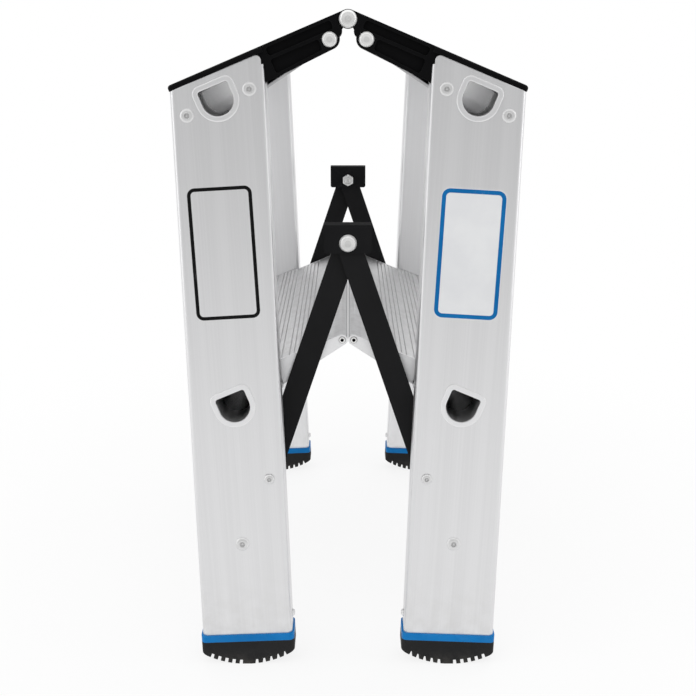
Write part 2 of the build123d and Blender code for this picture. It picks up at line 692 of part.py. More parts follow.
with BuildPart() as foot_rivets:
    with BuildSketch(stile_face):
        with Locations(foot_rivet_place):
            Circle(RIVET_HEAD_RADIUS)
    extrude(amount=RIVET_HEAD_HEIGHT, taper=HEAD_TAPER)
    with BuildSketch(stile_face):
        with Locations(foot_rivet_place):
            Circle(RIVET_RADIUS)
    extrude(amount=-foot_grip)
    with BuildSketch(flank_plane):
        Circle(FLANK_HEAD_RADIUS)
    extrude(amount=FLANK_HEAD_HEIGHT, taper=HEAD_TAPER)
    with BuildSketch(flank_plane):
        Circle(FLANK_RIVET_RADIUS)
    extrude(amount=-foot_grip)
    mirror(about=Plane.XZ)
save_turned_pair(foot_rivets.part, "left_foot_rivets", "right_foot_rivets")

# Foot: coloured collar with a hollow spigot inside the stile, and a toothed rubber sole
cavity_width = STILE_WIDTH - 2 * (STILE_WALL + SPIGOT_CLEARANCE)
cavity_depth = STILE_DEPTH - 2 * (STILE_WALL + SPIGOT_CLEARANCE)
with BuildPart() as collar:
    with BuildSketch(stile_section.offset(stile_end - spigot_length)):
        with Locations((0, -STILE_DEPTH / 2)):
            RectangleRounded(cavity_width, cavity_depth, STILE_CORNER - STILE_WALL)
            RectangleRounded(
                cavity_width - 2 * SPIGOT_WALL,
                cavity_depth - 2 * SPIGOT_WALL,
                SPIGOT_CORNER,
                mode=Mode.SUBTRACT,
            )
    extrude(amount=spigot_length + cut_reach)
    split(bisect_by=foot_cut, keep=Keep.BOTTOM)
    with BuildSketch(foot_cut):
        with Locations((0, foot_middle)):
            RectangleRounded(foot_width, foot_depth, STILE_CORNER)
    extrude(amount=COLLAR_HEIGHT)
    with BuildSketch(stile_face):
        with Locations(foot_rivet_place):
            Circle(RIVET_RADIUS + RIVET_FIT)
    extrude(amount=-STILE_DEPTH / 2, mode=Mode.SUBTRACT)
    with BuildSketch(flank_plane):
        Circle(FLANK_RIVET_RADIUS + RIVET_FIT)
    extrude(amount=-STILE_DEPTH / 2, mode=Mode.SUBTRACT)
save_turned_pair(collar.part, "left_front_foot_collar", "right_back_foot_collar")
save_turned_pair(
    mirror(collar.part, about=Plane.XZ), "left_back_foot_collar", "right_front_foot_collar"
)

notch_span = (NOTCH_COUNT - 1) * NOTCH_PITCH
toe = -90  # direction of the sole's middle in its sketch
with BuildPart() as sole:
    with BuildSketch(sole_plane.offset(foot_middle - foot_depth / 2)):
        with Locations((0, SOLE_DEPTH / 2 - SOLE_RADIUS)):
            Rectangle(foot_width, SOLE_DEPTH)
        Circle(SOLE_RADIUS, mode=Mode.INTERSECT)
        for first in (toe + NOTCH_FIRST, toe - NOTCH_FIRST - notch_span):
            with PolarLocations(SOLE_RADIUS, NOTCH_COUNT, first, notch_span, endpoint=True):
                Rectangle(2 * NOTCH_DEPTH, NOTCH_WIDTH, mode=Mode.SUBTRACT)
    extrude(amount=foot_depth)
    fillet(sole.edges().filter_by(Axis((0, 0, 0), down_flat)), STILE_CORNER)
    split(bisect_by=Plane.XY, keep=Keep.TOP)
save_turned_pair(sole.part, "left_front_foot_sole", "right_back_foot_sole")
save_turned_pair(mirror(sole.part, about=Plane.XZ), "left_back_foot_sole", "right_front_foot_sole")

# Spreader bars: from a pivot on each stile to the bolt in the middle
bar_middle = (rest_pivot.X / 2, (rest_pivot.Z - bolt_z) / 2)


def make_bar(layer):
    """Left spreader bar at the front end, in the outer or the inner layer."""
    with BuildPart() as bar:
        with BuildSketch(bar_plane.offset(bar_layers[layer])):
            with Locations(Location((*bar_middle, 0), (0, 0, bar_tilt))):
                SlotCenterToCenter(bar_length, BAR_WIDTH)
            Circle(BOLT_RADIUS + RUNNING_FIT, mode=Mode.SUBTRACT)
            with Locations((rest_pivot.X, rest_pivot.Z - bolt_z)):
                Circle(PIVOT_PIN_RADIUS + RUNNING_FIT, mode=Mode.SUBTRACT)
        extrude(amount=BAR_THICKNESS)
    return bar.part


left_bar = make_bar("inner")
right_bar = mirror(make_bar("outer"), about=Plane.YZ)
save_turned_pair(left_bar, "left_front_spreader", "right_back_spreader")
save(right_bar, "right_front_spreader")
save(right_bar.rotate(Axis.Z, 180), "left_back_spreader")


def make_pivot(layer):
    """Pivot rivet of the left front stile: flat head outside, bar and tail inside."""
    tail = bar_layers[layer]
    with BuildPart() as pivot:
        with BuildSketch(frame.offset(tail)):
            with Locations((pivot_u, -PIVOT_DROP)):
                Circle(PIVOT_PIN_RADIUS)
        extrude(amount=past_stile - tail)
        split(bisect_by=stile_face, keep=Keep.BOTTOM)
        with BuildSketch(stile_face):
            with Locations(on_stile_face(pivot_u, -PIVOT_DROP)):
                Circle(PIVOT_HEAD_RADIUS)
        extrude(amount=PIVOT_HEAD_HEIGHT, taper=HEAD_TAPER)
        with BuildSketch(frame.offset(tail - RUNNING_FIT)):
            with Locations((pivot_u, -PIVOT_DROP)):
                Circle(PIVOT_TAIL_RADIUS)
        extrude(amount=-PIVOT_TAIL_HEIGHT, taper=HEAD_TAPER)
        with BuildSketch(frame.offset(tail - RUNNING_FIT)):
            with Locations((pivot_u, -PIVOT_DROP)):
                Circle(PIVOT_PIN_RADIUS)
        extrude(amount=RUNNING_FIT)
    return pivot.part


def make_bush(layer):
    """Spacer bush between the stile's slanted inner face and the bar."""
    start = bar_layers[layer] + BAR_THICKNESS + RUNNING_FIT
    with BuildPart() as bush:
        with BuildSketch(frame.offset(start)):
            with Locations((pivot_u, -PIVOT_DROP)):
                Circle(BUSH_RADIUS)
                Circle(PIVOT_PIN_RADIUS + RIVET_FIT, mode=Mode.SUBTRACT)
        extrude(amount=past_stile - start)
        split(bisect_by=stile_inner_face, keep=Keep.BOTTOM)
    return bush.part


with BuildPart() as pivot_rivets:
    add(make_pivot("inner"))
    add(mirror(make_pivot("outer"), about=Plane.XZ))
save_turned_pair(pivot_rivets.part, "left_pivot_rivets", "right_pivot_rivets")

with BuildPart() as pivot_bushes:
    add(make_bush("inner"))
    add(mirror(make_bush("outer"), about=Plane.XZ))
save_turned_pair(pivot_bushes.part, "left_pivot_bushes", "right_pivot_bushes")

# Middle bolt, made in two halves: the head in the outer bar, the threaded end in the inner bar
outer_layer = bar_layers["outer"]
inner_layer = bar_layers["inner"]
with BuildPart() as bolt_head:
    with BuildSketch(bar_plane.offset(outer_layer + BOLT_SHORT)):
        Circle(BOLT_RADIUS)
    extrude(amount=BAR_THICKNESS - BOLT_SHORT)
    with BuildSketch(bar_plane.offset(outer_bar)):
        Circle(BOLT_HEAD_RADIUS)
    extrude(amount=BOLT_HEAD_HEIGHT, taper=HEAD_TAPER)
save(bolt_head.part, "front_bolt_head")
save(bolt_head.part.rotate(Axis.Z, 180), "back_bolt_head")

stop_inner = stop_face - STOP_THICKNESS
with BuildPart() as bolt_end:
    with BuildSketch(bar_plane.offset(stop_inner - NUT_HEIGHT - BOLT_SHORT)):
        Circle(BOLT_RADIUS)
    extrude(amount=inner_bar - BOLT_SHORT - stop_inner + NUT_HEIGHT + BOLT_SHORT)
save(bolt_end.part, "front_bolt_end")
save(bolt_end.part.rotate(Axis.Z, 180), "back_bolt_end")

with BuildPart() as nut:
    with BuildSketch(bar_plane.offset(stop_inner)):
        RegularPolygon(NUT_RADIUS, 6, rotation=90)
        Circle(BOLT_RADIUS + RIVET_FIT, mode=Mode.SUBTRACT)
    extrude(amount=-NUT_HEIGHT)
save(nut.part, "front_bolt_nut")
save(nut.part.rotate(Axis.Z, 180), "back_bolt_nut")

# Stop plate: hangs on the bolt behind the bars, its flange stops them when they are straight
flange_low = BAR_WIDTH / 2 + STOP_CLEARANCE
flange_top = flange_low + STOP_THICKNESS
with BuildPart() as stop_plate:
    with BuildSketch(bar_plane.offset(stop_inner)) as plate_outline:
        with Locations((0, (flange_top - STOP_BELOW) / 2)):
            Rectangle(STOP_WIDTH, flange_top + STOP_BELOW)
        fillet(plate_outline.vertices().group_by(Axis.Y)[0], STOP_ROUND)
        Circle(BOLT_RADIUS + RIVET_FIT, mode=Mode.SUBTRACT)
    extrude(amount=STOP_THICKNESS)
    with BuildSketch(bar_plane.offset(stop_inner)):
        with Locations((0, (flange_low + flange_top) / 2)):
            Rectangle(STOP_WIDTH, STOP_THICKNESS)
    extrude(amount=outer_bar - stop_inner)
save(stop_plate.part, "front_stop_plate")
save(stop_plate.part.rotate(Axis.Z, 180), "back_stop_plate")

print("hinge height", round(hinge_z, 2), "bar length", round(bar_length, 2))
print("bolt height", round(bolt_z, 2), "bar angle", round(bar_tilt, 2))
print("rest pivot", round(rest_pivot.X, 2), round(rest_pivot.Z, 2))
print("bars along Y", bar_layers, "stop face", round(stop_face, 2))
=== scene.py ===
# %% [markdown]
# # A folding step stool, dressed for its picture
# The stool has two half frames of drawn aluminium that hang on one hinge line.
# Black castings carry the hinge, black bars hold the halves apart, and the feet
# are blue plastic collars over rocking rubber soles. The solids come ready made
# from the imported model, so this lesson is about finishes, about the small turned
# parts, and about light. Every length is in metres.

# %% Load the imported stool
import json
from math import pi, radians

import bmesh
import bpy
import numpy as np
from mathutils import Matrix, Vector

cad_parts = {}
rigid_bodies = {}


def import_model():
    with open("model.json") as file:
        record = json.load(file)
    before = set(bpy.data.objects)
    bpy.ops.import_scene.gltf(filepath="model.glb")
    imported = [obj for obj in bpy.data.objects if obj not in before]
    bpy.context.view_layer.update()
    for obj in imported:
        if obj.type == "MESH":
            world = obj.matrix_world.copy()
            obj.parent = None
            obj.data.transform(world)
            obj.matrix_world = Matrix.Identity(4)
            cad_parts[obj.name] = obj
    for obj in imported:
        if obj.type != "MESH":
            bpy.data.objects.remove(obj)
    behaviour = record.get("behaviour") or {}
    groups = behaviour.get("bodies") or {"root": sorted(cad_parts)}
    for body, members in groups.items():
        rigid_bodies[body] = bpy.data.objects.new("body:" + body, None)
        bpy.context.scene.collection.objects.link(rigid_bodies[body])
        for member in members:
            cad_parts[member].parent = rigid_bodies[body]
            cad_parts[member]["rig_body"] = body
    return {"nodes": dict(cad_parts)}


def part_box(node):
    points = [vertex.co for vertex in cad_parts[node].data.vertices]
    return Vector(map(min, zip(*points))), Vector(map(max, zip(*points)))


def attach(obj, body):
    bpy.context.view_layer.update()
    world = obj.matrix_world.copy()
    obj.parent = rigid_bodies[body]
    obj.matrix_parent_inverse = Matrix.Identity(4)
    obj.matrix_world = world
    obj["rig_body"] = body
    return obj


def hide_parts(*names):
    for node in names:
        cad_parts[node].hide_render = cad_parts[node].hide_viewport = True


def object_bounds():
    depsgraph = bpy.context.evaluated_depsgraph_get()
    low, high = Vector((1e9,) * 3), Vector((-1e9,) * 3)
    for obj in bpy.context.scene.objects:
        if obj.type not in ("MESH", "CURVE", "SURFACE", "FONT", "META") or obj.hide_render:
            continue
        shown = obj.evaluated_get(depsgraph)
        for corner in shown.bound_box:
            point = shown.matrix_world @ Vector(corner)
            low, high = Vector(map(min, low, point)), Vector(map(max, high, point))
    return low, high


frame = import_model()
cad_low, cad_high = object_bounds()
nodes = frame["nodes"]
scene = bpy.context.scene


def in_mm(lengths):
    return [round(1000 * length, 1) for length in lengths]


print("solids:", len(nodes), "size in mm:", in_mm(cad_high - cad_low))

# %% [markdown]
# ## The camera
# The picture looks at one end of the stool from a little above the middle. The
# lens is worked out from its focal length in pixels, which is easy to measure in
# a picture: it is the lens over the sensor, times the picture's side. A small
# shift keeps the upright stiles from running together too much.

# %% Camera
PICTURE_SIDE, FOCAL_PIXELS, SENSOR = 696, 1194.1, 36.0
CAMERA_PLACE, LOOK_DOWN, LENS_SHIFT = (0.0, -1.0936, 0.5121), radians(13.20), -0.08


def placed(name, data):
    thing = bpy.data.objects.new(name, data)
    scene.collection.objects.link(thing)
    return thing


camera_data = bpy.data.cameras.new("picture_camera")
camera_data.sensor_width = SENSOR
camera_data.lens = FOCAL_PIXELS * SENSOR / PICTURE_SIDE
camera_data.shift_y = LENS_SHIFT
camera = placed("picture_camera", camera_data)
camera.location = CAMERA_PLACE
camera.rotation_euler = (pi / 2 - LOOK_DOWN, 0.0, 0.0)
scene.camera = camera
scene.view_settings.view_transform = "Standard"
print("lens in mm:", round(camera_data.lens, 2))

# %% [markdown]
# ## Helpers for node trees
# Shaders and geometry trees are both made of nodes, and both get long when each
# node takes four lines. `node` adds one with its settings and inputs, and gives
# back its outputs. An input can be a plain value or the output of another node.
# Such an output knows its own tree, so `fed` only asks what feeds the new node.

# %% Node helpers
def is_socket(value):
    return isinstance(value, bpy.types.NodeSocket)


def plug(socket, value):
    if is_socket(value):
        socket.id_data.links.new(value, socket)
    else:
        socket.default_value = value


def node(tree, kind, inputs=None, **settings):
    made = tree.nodes.new(kind)
    for name, value in settings.items():
        setattr(made, name, value)
    for name, value in (inputs or {}).items():
        plug(made.inputs[name], value)
    return made.outputs


def fed(kind, inputs, **settings):
    tree = next(value.id_data for value in inputs.values() if is_socket(value))
    return node(tree, kind, inputs, **settings)


# %% [markdown]
# Most nodes do plain sums, so these have short forms. `calc` is one sum, `times` a
# product with something added, `vector` a sum with directions, `between` a soft step
# from 0 to 1, and `blend` a mix of two colours. `surface` asks for the place of a
# point or the way it faces, and `axis_of` takes one axis out of such a triple.

# %% Short forms
def calc(operation, first, second=0.0, third=0.0, clamp=False):
    inputs = {0: first, 1: second, 2: third}
    return fed("ShaderNodeMath", inputs, operation=operation, use_clamp=clamp)[0]


def times(value, factor, plus=0.0):
    return calc("MULTIPLY_ADD", value, factor, plus)


def vector(operation, first, second=(0.0, 0.0, 0.0)):
    made = fed("ShaderNodeVectorMath", {0: first, 1: second}, operation=operation)
    return made["Value" if operation in ("DOT_PRODUCT", "LENGTH") else "Vector"]


def between(value, low, high):
    limits = {0: value, 1: low, 2: high}
    return fed("ShaderNodeMapRange", limits, interpolation_type="SMOOTHSTEP")[0]


def blend(share, first, second):
    return fed("ShaderNodeMix", {0: share, 6: first, 7: second}, data_type="RGBA")[2]


def surface(tree, kind="Object"):
    return node(tree, "ShaderNodeTexCoord")[kind]


def axis_of(triple, axis):
    return fed("ShaderNodeSeparateXYZ", {0: triple})[axis]


# %% [markdown]
# ## A white studio
# The background is white because of its own colour, not because of more light on
# the stool. The Light Path node tells which kind of ray asks: the camera, and
# gloss on metal, get the white, and all other rays get a weaker sky that lights
# the stool softly from all around.

# %% World
SKY_LIGHT = 0.72
WHITE = (1.0, 1.0, 1.0, 1.0)


def bare_tree(owner):
    owner.use_nodes = True
    owner.node_tree.nodes.clear()
    return owner.node_tree


def sees_background(tree):
    path = node(tree, "ShaderNodeLightPath")
    seen = calc("MAXIMUM", path["Is Camera Ray"], path["Is Glossy Ray"])
    return calc("MAXIMUM", seen, path["Is Transmission Ray"])


def either(share, first, second):
    return fed("ShaderNodeMixShader", {0: share, 1: first, 2: second})[0]


scene.world = bpy.data.worlds.new("white_studio")
sky = bare_tree(scene.world)
light = node(sky, "ShaderNodeBackground", {"Color": WHITE, "Strength": SKY_LIGHT})[0]
white = node(sky, "ShaderNodeBackground", {"Color": WHITE, "Strength": 1.0})[0]
fed("ShaderNodeOutputWorld", {"Surface": either(sees_background(sky), light, white)})
print("sky light:", SKY_LIGHT)

# %% [markdown]
# ## The floor
# A floor that is only white would lose the shadow under the feet. This one mixes
# a lit matt white with some white of its own. Near the stool the lit part keeps
# the shadow, and further out the white takes over, so the floor runs into the
# background without a horizon. From below it is see-through, so that the
# underside of the stool can be looked at too.

# %% Floor
FLOOR_REACH, FLOOR_DROP, MATT_WHITE = 6.0, 0.0002, (0.86, 0.86, 0.86, 1.0)
NEAR_GLOW, SHADOW_REACH, WHITE_FROM = 0.85, 0.28, 0.75


def new_mesh(name, points, faces=()):
    mesh = bpy.data.meshes.new(name)
    mesh.from_pydata(points, [], faces)
    return mesh


def stage_piece(name, points, faces, finish_name):
    mesh = new_mesh(name, points, faces)
    finish = bpy.data.materials.new(finish_name)
    mesh.materials.append(finish)
    piece = placed(name, mesh)
    return piece, bare_tree(finish)


height = cad_low.z - FLOOR_DROP
square = [(FLOOR_REACH * x, FLOOR_REACH * y, height) for x, y in ((-1, -1), (1, -1), (1, 1), (-1, 1))]
floor, tree = stage_piece("studio_floor", square, [(0, 1, 2, 3)], "pale_floor")
matt = node(tree, "ShaderNodeBsdfDiffuse", {"Color": MATT_WHITE})[0]
glow = node(tree, "ShaderNodeEmission", {"Color": WHITE, "Strength": 1.0})[0]
far_out = between(vector("LENGTH", surface(tree)), SHADOW_REACH, WHITE_FROM)
own_white = times(far_out, 1.0 - NEAR_GLOW, NEAR_GLOW)
from_above = either(times(sees_background(tree), own_white), matt, glow)
below = node(tree, "ShaderNodeNewGeometry")["Backfacing"]
one_sided = either(below, from_above, node(tree, "ShaderNodeBsdfTransparent")[0])
fed("ShaderNodeOutputMaterial", {"Surface": one_sided})
print(floor.name, "at", round(height, 4))

# %% [markdown]
# ## Soft boxes
# Metal shows what it mirrors. Two tall soft boxes at the sides draw bright lines
# along the rounded corners of the stiles, and two wide ones high in front and
# behind light what is matt. Metal already mirrors the white room, and a lamp on
# top of that would burn it out, so the wide boxes are left out of gloss.

# %% Lamps
LAMP_AIM = Vector((0.0, 0.0, 0.28))
WIDE_BOX, TALL_BOX = (3.0, 2.0), (0.8, 1.6)


def soft_box(name, place, size, watts, in_gloss):
    lamp = bpy.data.lights.new(name, "AREA")
    lamp.shape = "RECTANGLE"
    lamp.size, lamp.size_y = size
    lamp.energy = watts
    holder = placed(name, lamp)
    holder.location = place
    holder.rotation_euler = (LAMP_AIM - Vector(place)).to_track_quat("-Z", "Y").to_euler()
    holder.visible_glossy = in_gloss


soft_box("front_box", (-0.4, -1.5, 2.4), WIDE_BOX, watts=22.0, in_gloss=False)
soft_box("left_box", (-1.7, -0.5, 0.7), TALL_BOX, watts=4.0, in_gloss=True)
soft_box("right_box", (1.7, -0.3, 0.7), TALL_BOX, watts=4.0, in_gloss=True)
soft_box("back_box", (0.3, 1.6, 2.2), WIDE_BOX, watts=17.0, in_gloss=False)
print("lamps:", len(bpy.data.lights))

# %% [markdown]
# ## A grey band round the room
# In a room that is white all round, upright metal would mirror only white and look
# flat. A studio stands grey card round the object at some distance: the upper parts
# of the stiles mirror the card, the lower parts mirror the white floor, and the metal
# shades from one to the other. The card is lighter towards the back, where the treads
# mirror it. The band is seen in gloss alone.

# %% Grey band
FRONT_GREY, BACK_GREY = 0.60, 0.92
BAND_REACH, BAND_FROM, BAND_TO, BAND_SIDES = 2.6, 0.15, 1.9, 64


def walls_between(count, rings):
    quads = []
    for start in range(0, count * (rings - 1), count):
        for k in range(count):
            following = (k + 1) % count
            quads.append((start + k, start + following, start + count + following, start + count + k))
    return quads


turns = [2 * pi * k / BAND_SIDES for k in range(BAND_SIDES)]
around = [(BAND_REACH * np.cos(turn), BAND_REACH * np.sin(turn)) for turn in turns]
rims = [(x, y, z) for z in (BAND_FROM, BAND_TO) for x, y in around]
band, tree = stage_piece("grey_band", rims, walls_between(BAND_SIDES, 2), "grey_card")
band.visible_camera = band.visible_diffuse = band.visible_shadow = False
to_back = axis_of(surface(tree), "Y")
limits = {0: to_back, 1: -BAND_REACH, 2: BAND_REACH, 3: FRONT_GREY, 4: BACK_GREY}
shade = fed("ShaderNodeMapRange", limits)[0]
card = fed("ShaderNodeEmission", {"Color": WHITE, "Strength": shade})[0]
fed("ShaderNodeOutputMaterial", {"Surface": card})
print(band.name, "of", BAND_SIDES, "sides, grey", FRONT_GREY, "to", BACK_GREY)

# %% [markdown]
# ## Effects that several finishes share
# Real surfaces change a little from place to place: a die draws lines along an
# extrusion, corners are rubbed, dust settles near the floor. Each effect is built
# once as a node group that puts out masks, and every finish then uses it with its
# own numbers. An input that starts as one number is a value, one that starts as
# three is a direction.

# %% Group helpers
def add_socket(tree, label, way, kind):
    return tree.interface.new_socket(label, in_out=way, socket_type=f"NodeSocket{kind}")


def effect(name, **inputs):
    group = bpy.data.node_groups.new(name, "ShaderNodeTree")
    for label, start in inputs.items():
        kind = "Float" if isinstance(start, float) else "Vector"
        add_socket(group, label, "INPUT", kind).default_value = start
    return group, node(group, "NodeGroupInput")


def put_out(group, **results):
    for label in results:
        add_socket(group, label, "OUTPUT", "Vector" if label == "Normal" else "Float")
    node(group, "NodeGroupOutput", results)
    print("effect:", group.name, "gives", list(results))
    return group


def noise(place, scale, detail=2.0, rough=0.5):
    inputs = {"Vector": place, "Scale": scale, "Detail": detail, "Roughness": rough}
    return fed("ShaderNodeTexNoise", inputs)["Fac"]


# %% [markdown]
# **Drawn lines.** An extrusion carries fine lines along its length. Noise that is
# stretched along one direction gives just that. The direction is an input, because
# the stiles lean and the treads run across: the part of the place that lies along
# it is nearly taken away.

# %% Drawn lines
TAKEN_AWAY, BROAD_SCALE = 0.994, 0.13

group, given = effect("drawn_lines", Along=(0.0, 0.0, 1.0), Fineness=900.0)
place = surface(group)
pull = times(vector("DOT_PRODUCT", place, given["Along"]), -TAKEN_AWAY)
drawn = vector("ADD", place, vector("MULTIPLY", given["Along"], pull))
fine = noise(drawn, given["Fineness"], 3.0, 0.6)
broad = noise(drawn, times(given["Fineness"], BROAD_SCALE))
drawn_lines = put_out(group, Fine=fine, Broad=broad)

# %% [markdown]
# **Rubbed edges.** The Bevel node looks a short way around each point and rounds
# the normal off where an edge is near. That softens the edges, and where its
# normal differs from the true one, there is an edge to rub bright. Noise breaks
# the rubbing up, as use does.

# %% Rubbed edges
ON_FLAT, ON_EDGE = 0.995, 0.86
LEAST_RUBBED = 0.25

group, given = effect("rubbed_edges", Width=0.0006, Patches=160.0)
rounded = fed("ShaderNodeBevel", {"Radius": given["Width"]}, samples=6)[0]
true_normal = node(group, "ShaderNodeNewGeometry")["Normal"]
near_edge = between(vector("DOT_PRODUCT", rounded, true_normal), ON_FLAT, ON_EDGE)
patch = between(noise(surface(group), given["Patches"], 3.0, 0.6), 0.34, 0.66)
edge = times(near_edge, times(patch, 1.0 - LEAST_RUBBED, LEAST_RUBBED))
rubbed_edges = put_out(group, Edge=edge, Normal=rounded)

# %% [markdown]
# **Settled dust.** Dust lies on what faces up, and feet pick it up from the floor.
# The mask is the larger of the two, broken up by noise.

# %% Settled dust
DUST_SCALE = 90.0

group, given = effect("settled_dust", Reach=0.03, Lying=0.4)
place = surface(group)
height = calc("DIVIDE", axis_of(place, "Z"), given["Reach"], clamp=True)
near_floor = calc("POWER", calc("SUBTRACT", 1.0, height), 2.0)
faces_up = between(axis_of(surface(group, "Normal"), "Z"), 0.5, 0.95)
most = calc("MAXIMUM", near_floor, times(faces_up, given["Lying"]))
spread = between(noise(place, DUST_SCALE, 4.0, 0.65), 0.3, 0.75)
settled_dust = put_out(group, Dust=times(most, spread))

# %% [markdown]
# **Fine grain.** Powder coat, moulded plastic and rubber are never quite smooth.
# Two layers of noise, one small and one smaller, give a height for a Bump node, and
# a broad one gives a tint.

# %% Fine grain
SMALLER_SCALE, TINT_SCALE, SMALLER_SHARE = 2.7, 0.02, 0.4

group, given = effect("fine_grain", Scale=1500.0)
place = surface(group)
small = noise(place, given["Scale"], 2.0, 0.55)
smaller = noise(place, times(given["Scale"], SMALLER_SCALE), 1.0)
height = times(smaller, SMALLER_SHARE, times(small, 1.0 - SMALLER_SHARE))
tint = noise(place, times(given["Scale"], TINT_SCALE), 4.0, 0.6)
fine_grain = put_out(group, Height=height, Tint=tint)

# %% [markdown]
# **Handling marks.** A stool is carried, stacked and knocked. Thin scratches are
# the crests of stretched noise: where it crosses its middle value, a narrow band is
# kept. A second noise leaves them only here and there.

# %% Handling marks
SCRATCH_SHAPE, SCRATCH_TURN, SCRATCH_BAND = (6.0, 6.0, 0.7), 0.3, 0.006
HERE_AND_THERE = 17.0

group, given = effect("handling_marks", Scale=26.0, Lean=0.5)
place = surface(group)
turn = fed("ShaderNodeCombineXYZ", {0: given["Lean"], 1: given["Lean"], 2: SCRATCH_TURN})[0]
stretched = fed("ShaderNodeMapping", {"Vector": place, "Rotation": turn, "Scale": SCRATCH_SHAPE})[0]
wave = noise(stretched, given["Scale"])
off_middle = calc("ABSOLUTE", calc("SUBTRACT", wave, 0.5))
line = between(off_middle, SCRATCH_BAND, 0.0)
here = between(noise(place, HERE_AND_THERE), 0.56, 0.7)
handling_marks = put_out(group, Scratch=times(line, here))

# %% [markdown]
# ## A start for each finish
# Every finish is one Principled shader. What is the same all over is set on the
# shader itself, and only what changes over the surface comes from nodes. Wear is
# put on in layers: `layer` lays one colour over another where a mask says so.
# Colours are written as they look on a screen, from 0 to 255, and `linear` turns
# them into amounts of light. `grey` is for the many that are nearly neutral.

# %% Finish helpers
def new_finish(name, plain=None):
    finish = bpy.data.materials.new(name)
    finish.use_nodes = True
    shader = finish.node_tree.nodes["Principled BSDF"]
    feed(shader, plain or {})
    return finish, finish.node_tree, shader


def feed(shader, sockets):
    for label, value in sockets.items():
        plug(shader.inputs[label], value)


def use(tree, group, **values):
    return node(tree, "ShaderNodeGroup", values, node_tree=group)


def layer(mask, share, under, over):
    return blend(times(mask, share), under, over)


def bumped(shader, height, strength, depth, normal=None):
    inputs = {"Height": height, "Strength": strength, "Distance": depth}
    if normal:
        inputs["Normal"] = normal
    plug(shader.inputs["Normal"], fed("ShaderNodeBump", inputs)[0])


def linear(red, green, blue):
    shares = [channel / 255 for channel in (red, green, blue)]
    return (*(c / 12.92 if c <= 0.04045 else ((c + 0.055) / 1.055) ** 2.4 for c in shares), 1.0)


def grey(level, bluer=0):
    return linear(level, level, level + bluer)


# %% [markdown]
# ## Measuring the solids
# The stiles lean one way and spread another, so their directions are read from the
# solids: the broadest flat side that faces outwards gives a normal, and the longest
# reach of the points gives the way along. Nothing has to be typed in twice.

# %% Measuring helpers
ROUGHLY, NO_AREA = 0.5, 1e-15


def corners(name):
    vertices = nodes[name].data.vertices
    flat = np.empty(len(vertices) * 3, np.float32)
    vertices.foreach_get("co", flat)
    return flat.reshape(-1, 3).astype(float)


def triangles(name):
    return np.array([tuple(face.vertices) for face in nodes[name].data.polygons])


def broad_side(points, faces, towards):
    a, b, c = points[faces[:, 0]], points[faces[:, 1]], points[faces[:, 2]]
    cross = np.cross(b - a, c - a)
    size = np.linalg.norm(cross, axis=1)
    unit = cross / np.maximum(size, NO_AREA)[:, None]
    sums = {}
    for direction, area in zip(unit, size):
        if direction @ towards > ROUGHLY:
            key = tuple(np.round(direction, 2))
            sums[key] = sums.get(key, 0) + direction * area
    best = max(sums.values(), key=np.linalg.norm)
    return best / np.linalg.norm(best)


def stile_axes(name):
    points = corners(name)
    outwards = np.array([0.0, -1.0 if "front" in name else 1.0, 0.0])
    out = broad_side(points, triangles(name), outwards)
    down = np.linalg.svd(points - points.mean(0), full_matrices=False)[2][0]
    down -= out * (down @ out)
    down /= -np.linalg.norm(down) if down[2] > 0 else np.linalg.norm(down)
    across = np.cross(out, down)
    return (across if across[0] > 0 else -across), down, out


STILES = [f"{side}_{end}_stile" for side in ("left", "right") for end in ("front", "back")]
stile_directions = {name: stile_axes(name) for name in STILES}
for name, (across, down, out) in stile_directions.items():
    print(name, "down", down.round(3), "out", out.round(3))

# %% [markdown]
# ## Drawn aluminium for the stiles
# The stiles are pale, satin box extrusions. Fine lines run down them, broader
# streaks change the tone a little, the rounded corners are rubbed bright, and a few
# scratches and some dust near the feet tell of use. The sides that face in get less
# light, so they are painted paler and made less metallic: painted light. Each stile
# has its own copy, because its lines and its inner side follow its own lean.

# %% Stile finish
STILE_TONES, INNER_LIT_TONES = (grey(225, 1), grey(230, 1)), (grey(237, 1), grey(241, 1))
STILE_RUBBED, STILE_SCRATCHED, STILE_DUST = grey(235), grey(236, 1), linear(192, 189, 183)
STREAKS, FACING_IN, INNER_LESS_METALLIC = (0.36, 0.64), (-0.6, -0.9), 0.4


def drawn_metal(tree, along, fineness, fine_share):
    lines = use(tree, drawn_lines, Along=along, Fineness=fineness)
    tone = times(lines["Fine"], fine_share, times(lines["Broad"], 1.0 - fine_share))
    return lines, between(tone, *STREAKS)


def stile_finish(name, down, out):
    finish, tree, shader = new_finish(f"drawn_aluminium_{name}")
    lines, streak = drawn_metal(tree, tuple(down), 760.0, 0.5)
    edge = use(tree, rubbed_edges, Width=0.0008, Patches=60.0)
    marks = use(tree, handling_marks, Scale=24.0, Lean=0.4)
    dust = use(tree, settled_dust, Reach=0.11, Lying=0.15)
    inner = between(vector("DOT_PRODUCT", surface(tree, "Normal"), tuple(out)), *FACING_IN)
    # Painted light: the sides that face in are painted paler and made less metallic.
    metal = blend(inner, blend(streak, *STILE_TONES), blend(streak, *INNER_LIT_TONES))
    rubbed = layer(edge["Edge"], 0.4, metal, STILE_RUBBED)
    scratched = layer(marks["Scratch"], 0.3, rubbed, STILE_SCRATCHED)
    dusty = layer(dust["Dust"], 0.3, scratched, STILE_DUST)
    gloss = times(dust["Dust"], 0.2, times(lines["Broad"], 0.06, 0.35))
    gloss = times(marks["Scratch"], -0.1, gloss)
    metallic = times(inner, -INNER_LESS_METALLIC, 1.0)
    feed(shader, {"Base Color": dusty, "Roughness": gloss, "Metallic": metallic})
    bumped(shader, lines["Fine"], strength=0.05, depth=0.0002, normal=edge["Normal"])
    return finish


